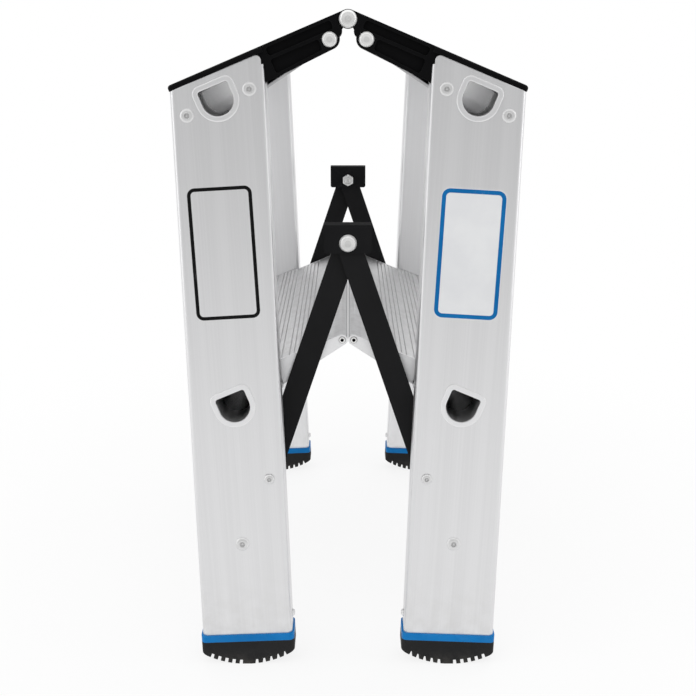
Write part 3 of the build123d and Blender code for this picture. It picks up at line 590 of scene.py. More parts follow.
def dress(ending, finish):
    named = [name for name in nodes if name.endswith(ending)]
    for name in named:
        slots = nodes[name].data.materials
        slots.clear()
        slots.append(finish)
    print(finish.name, "on", len(named))


for name in STILES:
    dress(name, stile_finish(name, *stile_directions[name][1:]))

# %% [markdown]
# ## Drawn aluminium for the treads
# Platform and treads are drawn too, but their lines run along the stool. The locking
# tube that goes through the stiles is as the die left it, smooth enough to carry
# light from one open end to the other. A point belongs to the inside of the tube when
# it is near the tube's middle line and its surface faces that line, so each tread has
# its own copy with its own line. The floors of the grooves are painted darker as
# painted shade, and they are found by how far they lie below the top.

# %% Places on a tread
TREADS = [f"{side}_{part}" for side in ("left", "right") for part in ("platform", "tread")]
TUBE_REACH, END_SLICE = 0.018, 0.002
GROOVE_FROM, GROOVE_TO = (0.0003, 0.0007), (0.0022, 0.0018)


def tube_middle(name):
    points = corners(name)
    ends = points[np.abs(points[:, 1]) > np.abs(points[:, 1]).max() - END_SLICE]
    x, y, z = (ends.min(0) + ends.max(0)) / 2
    return x, z


def tube_inside(tree, name):
    x, z = tube_middle(name)
    aside = vector("SUBTRACT", surface(tree), (x, 0.0, z))
    aside = vector("MULTIPLY", aside, (1.0, 0.0, 1.0))
    away = vector("LENGTH", aside)
    facing = vector("DOT_PRODUCT", aside, surface(tree, "Normal"))
    faces_middle = calc("LESS_THAN", facing, times(away, -ROUGHLY))
    return times(calc("LESS_THAN", away, TUBE_REACH), faces_middle)


def groove_floor(tree, name):
    points = corners(name)
    top = broad_side(points, triangles(name), np.array([0.0, 0.0, 1.0]))
    height = vector("DOT_PRODUCT", surface(tree), tuple(top))
    below = calc("SUBTRACT", float((points @ top).max()), height)
    return times(between(below, *GROOVE_FROM), between(below, *GROOVE_TO))


# %% [markdown]
# The tops are painted lighter than the other sides, as painted light. Shoes have
# polished the rims of the grooves and left dust, and the other sides are as pale as
# the stiles. The tube is duller at its sawn ends, and the flared ring there is painted
# lighter, with paler, less metallic rims: a painted highlight.

# %% Tread finish
SIDE_TONES, TOP_LIT_TONES = (grey(208, 1), grey(215, 1)), (grey(219, 1), grey(228, 1))
TREAD_RUBBED, TREAD_SCRATCHED = grey(228), grey(214)
TREAD_DUST, GROOVE_SHADE = linear(158, 155, 149), linear(104, 102, 99)
FLARE_HIGHLIGHT, RIM_HIGHLIGHT, RIM_LESS_METALLIC = grey(234, 1), grey(248), 0.4
FLARE_DEPTH, FLARE_FADE, RIM_WIDTH, MOUTH_DEPTH = 0.0040, 0.0006, 0.0017, 0.035


def tread_finish(name):
    finish, tree, shader = new_finish(f"drawn_{name}")
    lines, streak = drawn_metal(tree, (0.0, 1.0, 0.0), 900.0, 0.45)
    edge = use(tree, rubbed_edges, Width=0.0005, Patches=90.0)
    marks = use(tree, handling_marks, Scale=34.0, Lean=1.1)
    dust = use(tree, settled_dust, Reach=0.02, Lying=0.8)
    inside = tube_inside(tree, name)
    outside = calc("SUBTRACT", 1.0, inside)
    upward = between(axis_of(surface(tree, "Normal"), "Z"), 0.5, 0.8)
    top_face = times(upward, outside)
    # Painted light: the tops take lighter tones than the other sides.
    metal = blend(top_face, blend(streak, *SIDE_TONES), blend(streak, *TOP_LIT_TONES))
    rubbed = layer(edge["Edge"], 0.6, metal, TREAD_RUBBED)
    scratched = layer(marks["Scratch"], 0.35, rubbed, TREAD_SCRATCHED)
    dusty = layer(dust["Dust"], 0.2, scratched, TREAD_DUST)
    # Painted shade: the floors of the grooves on the tops are darkened.
    groove_shade = times(groove_floor(tree, name), times(lines["Broad"], 0.5, 0.35))
    groove_shaded = layer(groove_shade, top_face, dusty, GROOVE_SHADE)
    # Painted highlight: the flared ring at each end is lighter, and its rims are lighter still and less
    # metallic.
    end = np.abs(corners(name)[:, 1]).max()
    away = calc("ABSOLUTE", axis_of(surface(tree), "Y"))
    at_end = between(away, end - FLARE_DEPTH, end - FLARE_DEPTH + FLARE_FADE)
    flare_highlighted = layer(at_end, outside, groove_shaded, FLARE_HIGHLIGHT)
    wide_edge = use(tree, rubbed_edges, Width=RIM_WIDTH, Patches=90.0)["Edge"]
    rim = times(between(wide_edge, 0.0, 0.25), at_end)
    mouth = times(inside, between(away, end - MOUTH_DEPTH, end))
    gloss = times(lines["Fine"], 0.1, times(dust["Dust"], 0.15, 0.08))
    feed(shader, {
        "Base Color": blend(rim, flare_highlighted, RIM_HIGHLIGHT),
        "Metallic": times(rim, -RIM_LESS_METALLIC, 1.0),
        "Roughness": times(gloss, outside, times(mouth, 0.3, 0.25)),
    })
    bumped(shader, times(lines["Fine"], outside), strength=0.1, depth=0.0002, normal=edge["Normal"])
    return finish


for name in TREADS:
    dress(name, tread_finish(name))
    print("tube middle in mm:", in_mm(tube_middle(name)))

# %% [markdown]
# ## Coats with a grain
# Sheet metal that was tumbled, powder coat, moulded plastic and rubber all have a fine
# even grain, edges that are rubbed, and mostly some dust. One function makes them, and
# each finish gives its colours and amounts: `worn` is the colour of rubbed edges and
# how much of it shows, `dust` its colour, its amount, its reach up from the floor and
# how much lies on what faces up.

# %% Grained finish
def grained_finish(name, plain, tones, worn, dust, scale, edge, roughness, bump, tint=(0.3, 0.7)):
    finish, tree, shader = new_finish(name, plain)
    grain = use(tree, fine_grain, Scale=scale)
    edges = use(tree, rubbed_edges, Width=edge[0], Patches=edge[1])
    colour = blend(between(grain["Tint"], *tint), *tones)
    colour = layer(edges["Edge"], worn[1], colour, worn[0])
    if dust:
        settled = use(tree, settled_dust, Reach=dust[2], Lying=dust[3])
        colour = layer(settled["Dust"], dust[1], colour, dust[0])
    feed(shader, {"Base Color": colour, "Roughness": times(grain["Tint"], 0.2, roughness)})
    bumped(shader, grain["Height"], *bump, edges["Normal"])
    return finish


# %% [markdown]
# The plates at the treads' ends are cut from sheet and tumbled, which leaves a pale
# grain and softened, brighter edges.

# %% End plate finish
dress("end_plate", grained_finish(
    "tumbled_end_plate", {"Metallic": 0.75}, tones=(grey(230, 1), grey(236, 1)),
    worn=(grey(245), 0.6), dust=None,
    scale=1400.0, edge=(0.0006, 120.0), roughness=0.3, bump=(0.09, 0.0002), tint=(0.35, 0.65),
))

# %% [markdown]
# The hinge castings are powder coated: deep black with a fine pebbled skin. The bars
# and the stops have a smoother black paint, and the bushes are black nylon. All
# reflect little, so the shader's own specular level is low, and all show a thin grey
# line where edges are rubbed.

# %% Black finishes
def black_coat(name, level, worn, scale, strength, roughness, shine):
    dark = grey(level, 1)
    lighter = (*(1.5 * channel for channel in dark[:3]), 1.0)
    return grained_finish(
        name, {"Specular IOR Level": shine}, tones=(dark, lighter), worn=(grey(worn, 1), 0.55),
        dust=(linear(150, 146, 140), 0.05, 0.03, 0.35),
        scale=scale, edge=(0.0006, 140.0), roughness=roughness, bump=(strength, 0.0003),
    )


casting_coat = black_coat("powder_coated_casting", 8, 42, 900.0, strength=0.3, roughness=0.42, shine=0.05)
bar_paint = black_coat("painted_bar", 22, 54, 500.0, strength=0.14, roughness=0.38, shine=0.09)
stop_paint = black_coat("painted_stop", 22, 46, 500.0, strength=0.14, roughness=0.6, shine=0.05)
bush_nylon = black_coat("bush_nylon", 16, 38, 1500.0, strength=0.1, roughness=0.4, shine=0.12)
dress("hinge_casting", casting_coat)
dress("spreader", bar_paint)
dress("stop_plate", stop_paint)
dress("pivot_bushes", bush_nylon)

# %% [markdown]
# ## Feet
# The collars are moulded in blue plastic with a satin skin, paler where edges are
# rubbed. The soles are rubber: black, matt, faintly pebbled, and grey with dust where
# they meet the floor.

# %% Foot finishes
dress("foot_collar", grained_finish(
    "blue_collar_plastic", {"Specular IOR Level": 0.12}, tones=(linear(6, 112, 182), linear(14, 123, 195)),
    worn=(linear(70, 146, 200), 0.4), dust=(linear(150, 152, 152), 0.08, 0.05, 0.4),
    scale=1100.0, edge=(0.0007, 130.0), roughness=0.32, bump=(0.16, 0.0002),
))
dress("foot_sole", grained_finish(
    "sole_rubber", {"Specular IOR Level": 0.25}, tones=(grey(20, 1), grey(29, 1)),
    worn=(linear(62, 61, 60), 0.4), dust=(linear(118, 113, 106), 0.3, 0.016, 0.2),
    scale=800.0, edge=(0.0008, 110.0), roughness=0.58, bump=(0.35, 0.0003),
))

# %% [markdown]
# ## Skins of the turned parts
# Screws, pins and bolts are turned steel with a bright zinc skin, and the blind rivets
# are duller aluminium. A lathe leaves rings around the middle, which is duller. The rim
# is painted paler on zinc and rivets, a painted highlight, and painted dark on the
# screws in the end plates, a painted shade; their bore is painted black, a painted shade
# too. All these finishes read two attributes that the geometry tree below stores
# on each part: the distance from its own axis, and that distance as a share of the head.

# %% Zinc and rivet finishes
RING_STEP, RING_DEPTH, MIDDLE_FADE = 0.0006, 0.0002, 0.06
RIM_BAND = (0.72, 0.84)
DULL_MIDDLE, BORE_SHADE = (grey(120), 0.2, 0.42), (grey(9), 0.97, 0.5)


def turned_finish(name, tones, rim, middle, metallic, roughness, strength):
    finish, tree, shader = new_finish(name, {"Metallic": metallic})
    radius = node(tree, "ShaderNodeAttribute", attribute_name="from_axis")["Fac"]
    head_share = node(tree, "ShaderNodeAttribute", attribute_name="head_share")["Fac"]
    grain = use(tree, fine_grain, Scale=1800.0)
    edge = use(tree, rubbed_edges, Width=0.0004, Patches=200.0)
    ring = times(calc("SINE", times(radius, 2 * pi / RING_STEP)), 0.5, 0.5)
    tone = times(ring, 0.3, times(grain["Tint"], 0.7))
    metal = blend(between(tone, 0.3, 0.8), *tones)
    colour, middle_share, reach = middle
    # For the end-plate screws this paints the bore black, a painted shade.
    metal = layer(between(head_share, reach, reach - MIDDLE_FADE), middle_share, metal, colour)
    # The rim band and the rubbed edges take the rim colour: a painted highlight on zinc and rivets, a
    # painted shade on the end-plate screws.
    rim_mask = calc("MAXIMUM", between(head_share, *RIM_BAND), times(edge["Edge"], 0.6))
    rubbed = layer(rim_mask, 0.85, metal, rim)
    feed(shader, {"Base Color": rubbed, "Roughness": times(grain["Tint"], 0.18, roughness)})
    bumped(shader, times(ring, 0.5, grain["Height"]), strength, RING_DEPTH, edge["Normal"])
    print("turned finish:", name)
    return finish


# Painted highlight: the rims of zinc heads and rivets are painted paler.
bright_zinc = turned_finish(
    "bright_zinc", tones=(grey(212, -1), grey(230, -1)), rim=grey(253, -1), middle=DULL_MIDDLE,
    metallic=0.5, roughness=0.28, strength=0.1,
)
dull_rivet = turned_finish(
    "dull_rivet", tones=(grey(220), grey(230)), rim=grey(236), middle=DULL_MIDDLE,
    metallic=1.0, roughness=0.38, strength=0.06,
)
# Painted shade: these screws have a dark rim and a black bore.
clean_screw = turned_finish(
    "clean_screw", tones=(grey(244, -1), grey(251, -1)), rim=grey(172, -1), middle=BORE_SHADE,
    metallic=0.5, roughness=0.3, strength=0.03,
)

# %% [markdown]
# ## Turned parts from one rule
# Every rivet, screw, pin and nut is a profile turned around an axis, so a geometry
# tree can make them all. A grid is rolled up: its rows are the points of the profile
# and its columns go round. Each row's radius and height are shares of named sizes.
# Flats are cut by never letting the radius pass a straight side, which turns a round
# blank into a hexagon nut with chamfered corners.

# %% Sizes of a turned part
SIZES = (
    "Head radius", "Head height", "Recess radius", "Recess depth",
    "Shank radius", "Shank length", "Tail radius", "Tail height",
)
TREE_INPUTS = {
    "Places": "Geometry", **dict.fromkeys((*SIZES, "Across flats"), "Float"),
    "Columns": "Int", "Seed": "Int", "Least turn": "Float", "Most turn": "Float", "Finish": "Material",
}


def turned_tree(name, rows):
    tree = bpy.data.node_groups.new(name, "GeometryNodeTree")
    tree.is_modifier = True
    for label, kind in TREE_INPUTS.items():
        add_socket(tree, label, "INPUT", kind)
    add_socket(tree, "Parts", "OUTPUT", "Geometry")
    given = node(tree, "NodeGroupInput")
    fed("NodeGroupOutput", {"Parts": set_in_places(tree, given, rolled_blank(tree, given, rows))})
    print("tree:", name, "of", len(rows), "rows")
    return tree


# %% [markdown]
# An Index Switch picks a value by the number of the row, a stored attribute keeps one
# for the finishes, and shading is set for faces or for edges.

# %% Helpers for the blank
def picked(given, row, shares_by_row):
    switch = row.id_data.nodes.new("GeometryNodeIndexSwitch")
    switch.data_type = "FLOAT"
    plug(switch.inputs["Index"], row)
    while len(switch.index_switch_items) < len(shares_by_row):
        switch.index_switch_items.new()
    for number, shares in enumerate(shares_by_row):
        total = 0.0
        for label, share in shares.items():
            total = times(given[label], share, total)
        plug(switch.inputs[number + 1], total)
    return switch.outputs[0]


def stored(mesh, name, value):
    inputs = {"Geometry": mesh, "Name": name, "Value": value}
    return fed("GeometryNodeStoreNamedAttribute", inputs, data_type="FLOAT", domain="POINT")[0]


def shaded(mesh, domain, smooth, where=True):
    inputs = {0: mesh, "Selection": where, "Shade Smooth": smooth}
    return fed("GeometryNodeSetShadeSmooth", inputs, domain=domain)[0]


# %% [markdown]
# The grid counts its points row by row. Dividing a point's index by the number of
# columns gives its row, and the rest gives how far round it is. Merging then closes
# the seam and the two ends.

# %% Roll up the blank
MERGE_WITHIN, SHARP_FROM, SIXTH = 0.000004, radians(38), pi / 3


def rolled_blank(tree, given, rows):
    around = calc("ADD", given["Columns"], 1.0)
    grid = fed("GeometryNodeMeshGrid", {"Vertices X": len(rows), "Vertices Y": around})[0]
    index = node(tree, "GeometryNodeInputIndex")[0]
    row = calc("FLOOR", calc("DIVIDE", calc("ADD", index, 0.5), around))
    column = calc("SUBTRACT", index, times(row, around))
    angle = calc("DIVIDE", times(column, 2 * pi), given["Columns"])
    round_radius, z = (picked(given, row, shares) for shares in zip(*rows))
    beside = calc("SUBTRACT", calc("MODULO", angle, SIXTH), SIXTH / 2)
    flat = calc("DIVIDE", times(given["Across flats"], 0.5), calc("COSINE", beside))
    radius = calc("MINIMUM", round_radius, flat)
    x, y = (times(radius, calc(way, angle)) for way in ("COSINE", "SINE"))
    spot = fed("ShaderNodeCombineXYZ", {0: x, 1: y, 2: z})[0]
    rolled = fed("GeometryNodeSetPosition", {"Geometry": grid, "Position": spot})[0]
    rolled = stored(rolled, "from_axis", radius)
    rolled = stored(rolled, "head_share", calc("DIVIDE", radius, given["Head radius"]))
    merged = fed("GeometryNodeMergeByDistance", {"Geometry": rolled, "Distance": MERGE_WITHIN})[0]
    sharp = calc("GREATER_THAN", node(tree, "GeometryNodeInputMeshEdgeAngle")[0], SHARP_FROM)
    return shaded(shaded(merged, "FACE", True), "EDGE", False, sharp)


# %% [markdown]
# Each place is a point that carries its own axis as an attribute. The blank is set on
# every point, turned to that axis, and given a chance turn around it from a fixed
# seed, as no fitter lines up rivets.

# %% Set the blanks in their places
def set_in_places(tree, given, blank):
    way = node(tree, "GeometryNodeInputNamedAttribute", {"Name": "axis"}, data_type="FLOAT_VECTOR")[0]
    upright = fed("FunctionNodeAlignRotationToVector", {"Vector": way}, axis="Z")[0]
    limits = {2: given["Least turn"], 3: given["Most turn"], "Seed": given["Seed"]}
    chance = fed("FunctionNodeRandomValue", limits, data_type="FLOAT")[1]
    spin = fed("FunctionNodeEulerToRotation", {0: fed("ShaderNodeCombineXYZ", {2: chance})[0]})[0]
    turned = fed("FunctionNodeRotateRotation", {0: upright, 1: spin}, rotation_space="LOCAL")[0]
    setting = {"Points": given["Places"], "Instance": blank, "Rotation": turned}
    copies = fed("GeometryNodeInstanceOnPoints", setting)[0]
    real = fed("GeometryNodeRealizeInstances", {0: copies})[0]
    return fed("GeometryNodeSetMaterial", {"Geometry": real, "Material": given["Finish"]})[0]


# %% [markdown]
# Four profiles are enough. A blind rivet has a domed flange with the stub of its
# mandrel sunk in the middle. A turned head has a flat face with a shallow dish, a
# bevelled rim and a centre mark. A hollow screw has a deep bore. A nut is a ring
# whose corners are chamfered. Each row of a profile has the shares of two radii, and
# then the shares of the heights, counted from the seat of the head.

# %% Profiles
HEAD, TALL, DISH, DEEP, SHANK, LONG, TAIL, THICK = SIZES
IN_HEAD = (DISH, HEAD), (TALL, DEEP)
IN_NUT = (SHANK, HEAD), (TALL,)
BELOW_HEAD = (SHANK, TAIL), (LONG, THICK)


def profile(radii, heights, *rows):
    columns = [(zip(radii, row), zip(heights, row[len(radii):])) for row in rows]
    return [[{size: share for size, share in pairs if share} for pairs in row] for row in columns]


AFTER_HEAD = profile(
    *BELOW_HEAD, (1, 0, 0, 0), (1, 0, -1, 0), (0, 1, -1, 0), (0, 1, -1, -0.3),
    (0, 0.9, -1, -0.8), (0, 0.72, -1, -1), (0, 0, -1, -1),
)
blind_rivet = turned_tree("blind_rivet", profile(
    *IN_HEAD, (0, 0, 1, -0.5), (0.45, 0, 1, -0.55), (0.62, 0, 1, -1), (0.86, 0, 1, -1),
    (0.98, 0, 1, -0.2), (1.16, 0, 1, 0), (0, 0.62, 0.96, 0), (0, 0.8, 0.78, 0),
    (0, 0.93, 0.48, 0), (0, 1, 0.16, 0), (0, 1, 0, 0),
) + AFTER_HEAD)
turned_head = turned_tree("turned_head", profile(
    *IN_HEAD, (0, 0, 1, -2.2), (0.1, 0, 1, -1.9), (0.16, 0, 1, -1), (0.9, 0, 1, -1),
    (0.97, 0, 1, -0.2), (1.03, 0, 1, 0), (0.5, 0.4, 0.97, 0), (0, 0.84, 0.86, 0),
    (0, 0.98, 0.2, 0), (0, 1, 0.1, 0), (0, 1, 0, 0),
) + AFTER_HEAD)
hollow_screw = turned_tree("hollow_screw", profile(
    *IN_HEAD, (0, 0, 1, -1), (1, 0, 1, -1), (1, 0, 0.8, 0), (1.2, 0, 1, 0),
    (0, 0.74, 1, 0), (0, 0.93, 0.7, 0), (0, 1, 0.25, 0), (0, 1, 0, 0),
) + AFTER_HEAD)
hexagon_nut = turned_tree("hexagon_nut", profile(
    *IN_NUT, (1, 0, 0.94), (1.12, 0, 1), (0, 0.85, 1), (0, 1, 0.82),
    (0, 1, 0.12), (0, 0.92, 0), (1, 0, 0), (1, 0, 0.94),
))

# %% [markdown]
# ## Where the turned parts sit
# The solids of one kind share a node as separate bodies. Points that are joined by
# triangles belong to the same body, and each body's own broadest flat end shows its
# axis. The seat of the head then lies one head height below its top.

# %% Find each body's place and axis
SAME_POINT, ASLANT = 6, (0.0, 0.6, 0.8)


def bodies_of(name):
    points, copies = np.unique(np.round(corners(name), SAME_POINT), axis=0, return_inverse=True)
    faces = copies.ravel()[triangles(name)]
    label = np.arange(len(points))
    while True:
        lowest = label[faces].min(1)
        before = label.copy()
        for column in range(3):
            np.minimum.at(label, faces[:, column], lowest)
        if (label == before).all():
            owner = label[faces[:, 0]]
            return [(points, faces[owner == one]) for one in np.unique(owner)]


def place_of(points, faces, towards, head_height):
    axis = broad_side(points, faces, np.array(towards))
    own = points[np.unique(faces)]
    aside = np.cross(axis, ASLANT)
    aside /= np.linalg.norm(aside)
    up = np.cross(axis, aside)
    middle = [((own @ way).min() + (own @ way).max()) / 2 for way in (aside, up)]
    along = own @ axis
    seat = aside * middle[0] + up * middle[1] + axis * (along.max() - head_height)
    return seat, axis, along.max() - along.min()


def seats(name, size, towards=None):
    found = []
    for points, faces in bodies_of(name):
        out = (0.0, np.sign(points[np.unique(faces)][:, 1].mean()), 0.0)
        found.append(place_of(points, faces, towards or out, size["Head height"]))
    return found


# %% [markdown]
# Now each node of small parts is made again with its detail. A mesh of places is
# dressed with the tree, evaluated, and turned into a plain mesh that stands for the
# node and rides on the node's body. The length of the shank is what the head and the
# tail leave of the solid's own length.

# %% Finished pieces
def evaluated_mesh(holder, name):
    bpy.context.view_layer.update()
    mesh = bpy.data.meshes.new_from_object(holder.evaluated_get(bpy.context.evaluated_depsgraph_get()))
    mesh.name = name
    return mesh


def turn_outwards(mesh, ahead=None):
    shell = bmesh.new()
    shell.from_mesh(mesh)
    bmesh.ops.recalc_face_normals(shell, faces=shell.faces)
    if ahead and sum(face.normal.dot(ahead) * face.calc_area() for face in shell.faces) < 0:
        bmesh.ops.reverse_faces(shell, faces=shell.faces)
    shell.to_mesh(mesh)
    shell.free()


def riding(piece, carrier):
    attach(piece, nodes[carrier]["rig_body"])
    print(piece.name, "rides with", carrier, "and has", len(piece.data.polygons), "faces")


# %% Make the turned parts
COLUMNS, SEED = 48, 7
ROUND = {"Columns": COLUMNS, "Seed": SEED, "Least turn": 0.0, "Most turn": 2 * pi, "Across flats": 1.0}


def turned_parts(name, tree, stands_for, places, sizes):
    points = new_mesh(f"{name}_places", [tuple(seat) for seat, axis, long in places])
    ways = points.attributes.new("axis", "FLOAT_VECTOR", "POINT")
    for number, (seat, axis, long) in enumerate(places):
        ways.data[number].vector = axis
    holder = placed(f"{name}_places", points)
    modifier = holder.modifiers.new("turned", "NODES")
    modifier.node_group = tree
    values = {**ROUND, **sizes, LONG: places[0][2] - sizes[TALL] - sizes[THICK]}
    for socket in tree.interface.items_tree:
        if socket.in_out == "INPUT" and socket.name in values:
            modifier[socket.identifier] = values[socket.name]
    mesh = evaluated_mesh(holder, name)
    bpy.data.objects.remove(holder)
    turn_outwards(mesh)
    piece = placed(name, mesh)
    riding(piece, stands_for)
    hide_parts(stands_for)


# %% [markdown]
# The sizes are those of the solids that these parts stand for. Only the dish or the
# sunk mandrel is new. The two pivot rivets of one half are not equally long, because
# the spreader bars lie in two layers, so each is a piece of its own.

# %% Rivets and screws in the stiles and castings
def sized(head, tall, shank, dish=0.0, deep=0.0, tail=None, thick=0.0, skin=bright_zinc):
    values = (head, tall, dish, deep, shank, 0.0, shank if tail is None else tail, thick)
    return {**dict(zip(SIZES, values)), "Finish": skin}


FACE_RIVET = sized(0.0054, 0.0016, 0.0024, dish=0.0021, deep=0.0011, skin=dull_rivet)
FLANK_RIVET = sized(0.0029, 0.0022, 0.0016, dish=0.0010, deep=0.0006, skin=dull_rivet)
PIVOT_RIVET = sized(
    0.0042, 0.0016, 0.0035, dish=0.0017, deep=0.0010, tail=0.0060, thick=0.0022, skin=dull_rivet
)
PLATFORM_SCREW = sized(0.0057, 0.0028, 0.0025, dish=0.0040, deep=0.00022)
PLATE_SCREW = sized(0.0029, 0.0012, 0.0025, dish=0.00125, deep=0.0090, skin=clean_screw)
FLANK_BELOW = 0.06

for side, inward in (("left", 1.0), ("right", -1.0)):
    for label, tree, size in (
        ("casting_rivets", blind_rivet, FACE_RIVET),
        ("platform_screws", turned_head, PLATFORM_SCREW),
        ("end_plate_screws", hollow_screw, PLATE_SCREW),
    ):
        name = f"{side}_{label}"
        turned_parts(f"{name}_turned", tree, name, seats(name, size), size)
    feet, pivots = f"{side}_foot_rivets", f"{side}_pivot_rivets"
    face = [seat for seat in seats(feet, FACE_RIVET) if seat[0][2] > FLANK_BELOW]
    turned_parts(f"{feet}_turned", blind_rivet, feet, face, FACE_RIVET)
    flank = [seat for seat in seats(feet, FLANK_RIVET, (inward, 0.0, 0.0)) if seat[0][2] < FLANK_BELOW]
    turned_parts(f"{side}_flank_rivets_turned", blind_rivet, feet, flank, FLANK_RIVET)
    for seat in seats(pivots, PIVOT_RIVET):
        end = "front" if seat[0][1] < 0 else "back"
        turned_parts(f"{side}_{end}_pivot_rivet_turned", blind_rivet, pivots, [seat], PIVOT_RIVET)

# %% [markdown]
# ## Outer cheeks of the stops
# Each stop clasps the spreader bars between two cheeks, which a flange joins above
# them. The solids have the flange and the inner cheek. The outer cheek is bent here
# from the same sheet: its section, with the round of the bend, is stretched over the
# width of the stop, its lower corners are rounded, and a hole lets the bolt through.

# %% Bent cheek
SHEET, CHEEK_GAP = 0.003, 0.0003
CHEEK_REACH = SHEET + CHEEK_GAP
BEND_RADIUS, CORNER_RADIUS = 0.0020, 0.0020
BEND_STEPS, CORNER_STEPS, TOUCHING, CREASED_FROM = 6, 5, 1e-6, radians(30)


def cheek_section(bottom, top):
    section = [(0.0, top)]
    for step in range(BEND_STEPS + 1):
        angle = pi / 2 * step / BEND_STEPS
        out = CHEEK_REACH - BEND_RADIUS * (1 - np.sin(angle))
        section.append((out, top - BEND_RADIUS * (1 - np.cos(angle))))
    section += [(CHEEK_REACH, bottom), (CHEEK_GAP, bottom), (CHEEK_GAP, top - SHEET), (0.0, top - SHEET)]
    return section


def mesh_of(shape, name):
    mesh = bpy.data.meshes.new(name)
    shape.to_mesh(mesh)
    shape.free()
    return mesh


def bent_cheek(name, stop, outside):
    low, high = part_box(stop)
    flange_end = low.y if outside < 0 else high.y
    section = cheek_section(low.z, high.z)
    solid = bmesh.new()
    first = solid.faces.new([solid.verts.new((low.x, flange_end + outside * out, z)) for out, z in section])
    stretched = bmesh.ops.extrude_face_region(solid, geom=[first])["geom"]
    moved = [item for item in stretched if isinstance(item, bmesh.types.BMVert)]
    bmesh.ops.translate(solid, verts=moved, vec=(high.x - low.x, 0.0, 0.0))
    lowest = [edge for edge in solid.edges if all(abs(v.co.z - low.z) < TOUCHING for v in edge.verts)]
    ends = [edge for edge in lowest if abs(edge.verts[0].co.x - edge.verts[1].co.x) < TOUCHING]
    bmesh.ops.bevel(
        solid, geom=ends, offset=CORNER_RADIUS, segments=CORNER_STEPS, profile=0.5, affect="EDGES"
    )
    bmesh.ops.recalc_face_normals(solid, faces=solid.faces)
    return mesh_of(solid, name)


# %% [markdown]
# The hole is cut by a round bar on the bolt's own line, which is taken away afterwards.

# %% Bolt holes and cheeks
BOLT_HOLE, BAR_LENGTH, BAR_SIDES = 0.0037, 0.04, 48
ENDS = {"front": -1.0, "back": 1.0}


def bolt_bar(bolt):
    low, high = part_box(bolt)
    bar = bmesh.new()
    across = Matrix.Translation((low + high) / 2) @ Matrix.Rotation(pi / 2, 4, "X")
    bmesh.ops.create_cone(
        bar, cap_ends=True, segments=BAR_SIDES, radius1=BOLT_HOLE, radius2=BOLT_HOLE,
        depth=BAR_LENGTH, matrix=across,
    )
    return placed("bolt_bar", mesh_of(bar, "bolt_bar"))


for end, outside in ENDS.items():
    name, stop = f"{end}_stop_outer_cheek", f"{end}_stop_plate"
    cheek = placed(name, bent_cheek(name, stop, outside))
    cutter = bolt_bar(f"{end}_bolt_head")
    cut = cheek.modifiers.new("bolt_hole", "BOOLEAN")
    cut.operation, cut.object = "DIFFERENCE", cutter
    holed = evaluated_mesh(cheek, name)
    cheek.modifiers.clear()
    cheek.data = holed
    bpy.data.objects.remove(cutter)
    holed.materials.clear()
    holed.materials.append(stop_paint)
    holed.shade_smooth()
    holed.set_sharp_from_angle(angle=CREASED_FROM)
    riding(cheek, stop)

# %% [markdown]
# The hinge pins have a head at both ends. The middle bolts of the spreaders have a
# round head outside, seated on the outer cheek, and a hexagon nut inside, with the
# chamfered end of the bolt showing in the nut. The nuts all point the same way up, so
# their chance turn is closed to one angle.

# %% Pins, bolts and nuts
HINGE_PIN = sized(0.0067, 0.0032, 0.0040, dish=0.0048, deep=0.00025, tail=0.0067, thick=0.0032)
BOLT_HEAD = sized(0.0068, 0.0034, 0.0035, dish=0.0049, deep=0.00025)
BOLT_END = sized(0.0035, 0.0010, 0.0035, dish=0.0022, deep=0.00010)
NUT = sized(0.0062, 0.0050, 0.0035)
NUT["Across flats"] = 2 * NUT[HEAD] * np.cos(SIXTH / 2)
NUT["Least turn"] = NUT["Most turn"] = SIXTH / 2

for end, outside in ENDS.items():
    inside = (0.0, -outside, 0.0)
    for label, tree, size, towards in (
        ("hinge_pin", turned_head, HINGE_PIN, None),
        ("bolt_head", turned_head, BOLT_HEAD, None),
        ("bolt_end", turned_head, BOLT_END, inside),
        ("bolt_nut", hexagon_nut, NUT, inside),
    ):
        name = f"{end}_{label}"
        lift = CHEEK_REACH if label == "bolt_head" else 0.0
        places = [(seat + axis * lift, axis, long + lift) for seat, axis, long in seats(name, size, towards)]
        turned_parts(f"{name}_turned", tree, name, places, size)

# %% [markdown]
# ## Blank frames on the front stiles
# Two thin printed frames sit on the front stiles, a black outline on the left and a
# blue one on a pale film on the right. They are left blank. A frame is a ring between
# two rounded rectangles.

# %% Outlines
def rounded_rectangle(wide, tall, radius, steps=8):
    points = []
    for turn, (x, y) in enumerate(((1, 1), (-1, 1), (-1, -1), (1, -1))):
        middle = np.array((x * (wide / 2 - radius), y * (tall / 2 - radius)))
        for step in range(steps + 1):
            angle = pi / 2 * (turn + step / steps)
            points.append(middle + (radius * np.cos(angle), radius * np.sin(angle)))
    return points


def outline(wide, tall, radius, line):
    inner = rounded_rectangle(wide - 2 * line, tall - 2 * line, radius - line)
    return rounded_rectangle(wide, tall, radius), inner


# %% [markdown]
# A place on a stile is counted across it, up it, and proud of its face. A film is
# about a tenth of a millimetre thick, so light catches its edge.

# %% Films on a stile
def on_stile(stile, down_from_top, aside):
    across, down, out = stile_directions[stile]
    points = corners(stile)
    sides = points @ across
    top = points[points[:, 2].argmax()]
    middle = across * ((sides.min() + sides.max()) / 2 + aside) + down * (top @ down + down_from_top)
    middle = middle + out * (points @ out).max()
    return lambda x, y, proud: tuple(middle + across * x - down * y + out * proud)


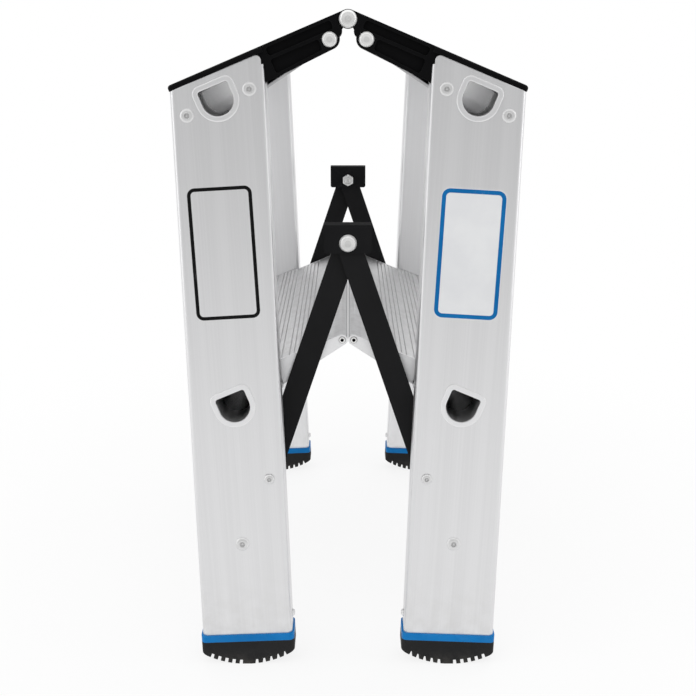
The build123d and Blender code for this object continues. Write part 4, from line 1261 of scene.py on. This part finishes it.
def film(name, stile, outer, inner, place, thick, finish, slot):
    loops = [(outer, 0.0), (outer, thick)] + ([(inner, thick), (inner, 0.0)] if inner else [])
    faces = walls_between(len(outer), len(loops))
    if not inner:
        faces.append(tuple(range(len(outer), 2 * len(outer))))
    mesh = new_mesh(name, [place(x, y, proud) for loop, proud in loops for x, y in loop], faces)
    mesh.materials.append(finish)
    turn_outwards(mesh, Vector(stile_directions[stile][2]))
    riding(placed(name, mesh), stile)


# %% [markdown]
# Print on film is even in colour but not dead flat: a trace of grain breaks the gloss,
# and the ink is thinner where it was rubbed.

# %% Print finishes
PRINT_SCRATCHED = grey(190, 1)


def print_finish(name, ink, thin, roughness):
    finish, tree, shader = new_finish(name, {"Specular IOR Level": 0.12})
    grain = use(tree, fine_grain, Scale=1600.0)
    marks = use(tree, handling_marks, Scale=40.0, Lean=0.8)
    colour = blend(between(grain["Tint"], 0.3, 0.75), ink, thin)
    colour = layer(marks["Scratch"], 0.4, colour, PRINT_SCRATCHED)
    feed(shader, {"Base Color": colour, "Roughness": times(grain["Tint"], 0.2, roughness)})
    bumped(shader, grain["Height"], strength=0.08, depth=0.0001)
    print("print:", name)
    return finish


black_ink = print_finish("black_ink", grey(4, 1), grey(10, 1), 0.4)
blue_ink = print_finish("blue_ink", linear(0, 98, 160), linear(8, 108, 172), 0.3)
pale_film = print_finish("pale_film", linear(219, 220, 222), linear(226, 227, 228), 0.34)

# %% Frames
LEFT_FRAME, BLACK_LINE = (0.0491, 0.1017, 0.0058), 0.0027
RIGHT_FILM, RIGHT_FRAME, BLUE_LINE = (0.0497, 0.1003, 0.0067), (0.0489, 0.0993, 0.0064), 0.0032
INK_THICK, FILM_THICK, INK_ON_FILM = 0.0001, 0.00008, 0.00016

left, right = "left_front_stile", "right_front_stile"
on_left = on_stile(left, down_from_top=0.1466, aside=-0.0003)
on_right = on_stile(right, down_from_top=0.1475, aside=-0.0013)
black_ring, blue_ring = outline(*LEFT_FRAME, BLACK_LINE), outline(*RIGHT_FRAME, BLUE_LINE)
sheet = rounded_rectangle(*RIGHT_FILM), None
film("left_blank_frame", left, *black_ring, on_left, INK_THICK, black_ink, "black_plastic")
film("right_blank_film", right, *sheet, on_right, FILM_THICK, pale_film, "tread_aluminium")
film("right_blank_frame", right, *blue_ring, on_right, INK_ON_FILM, blue_ink, "blue_plastic")
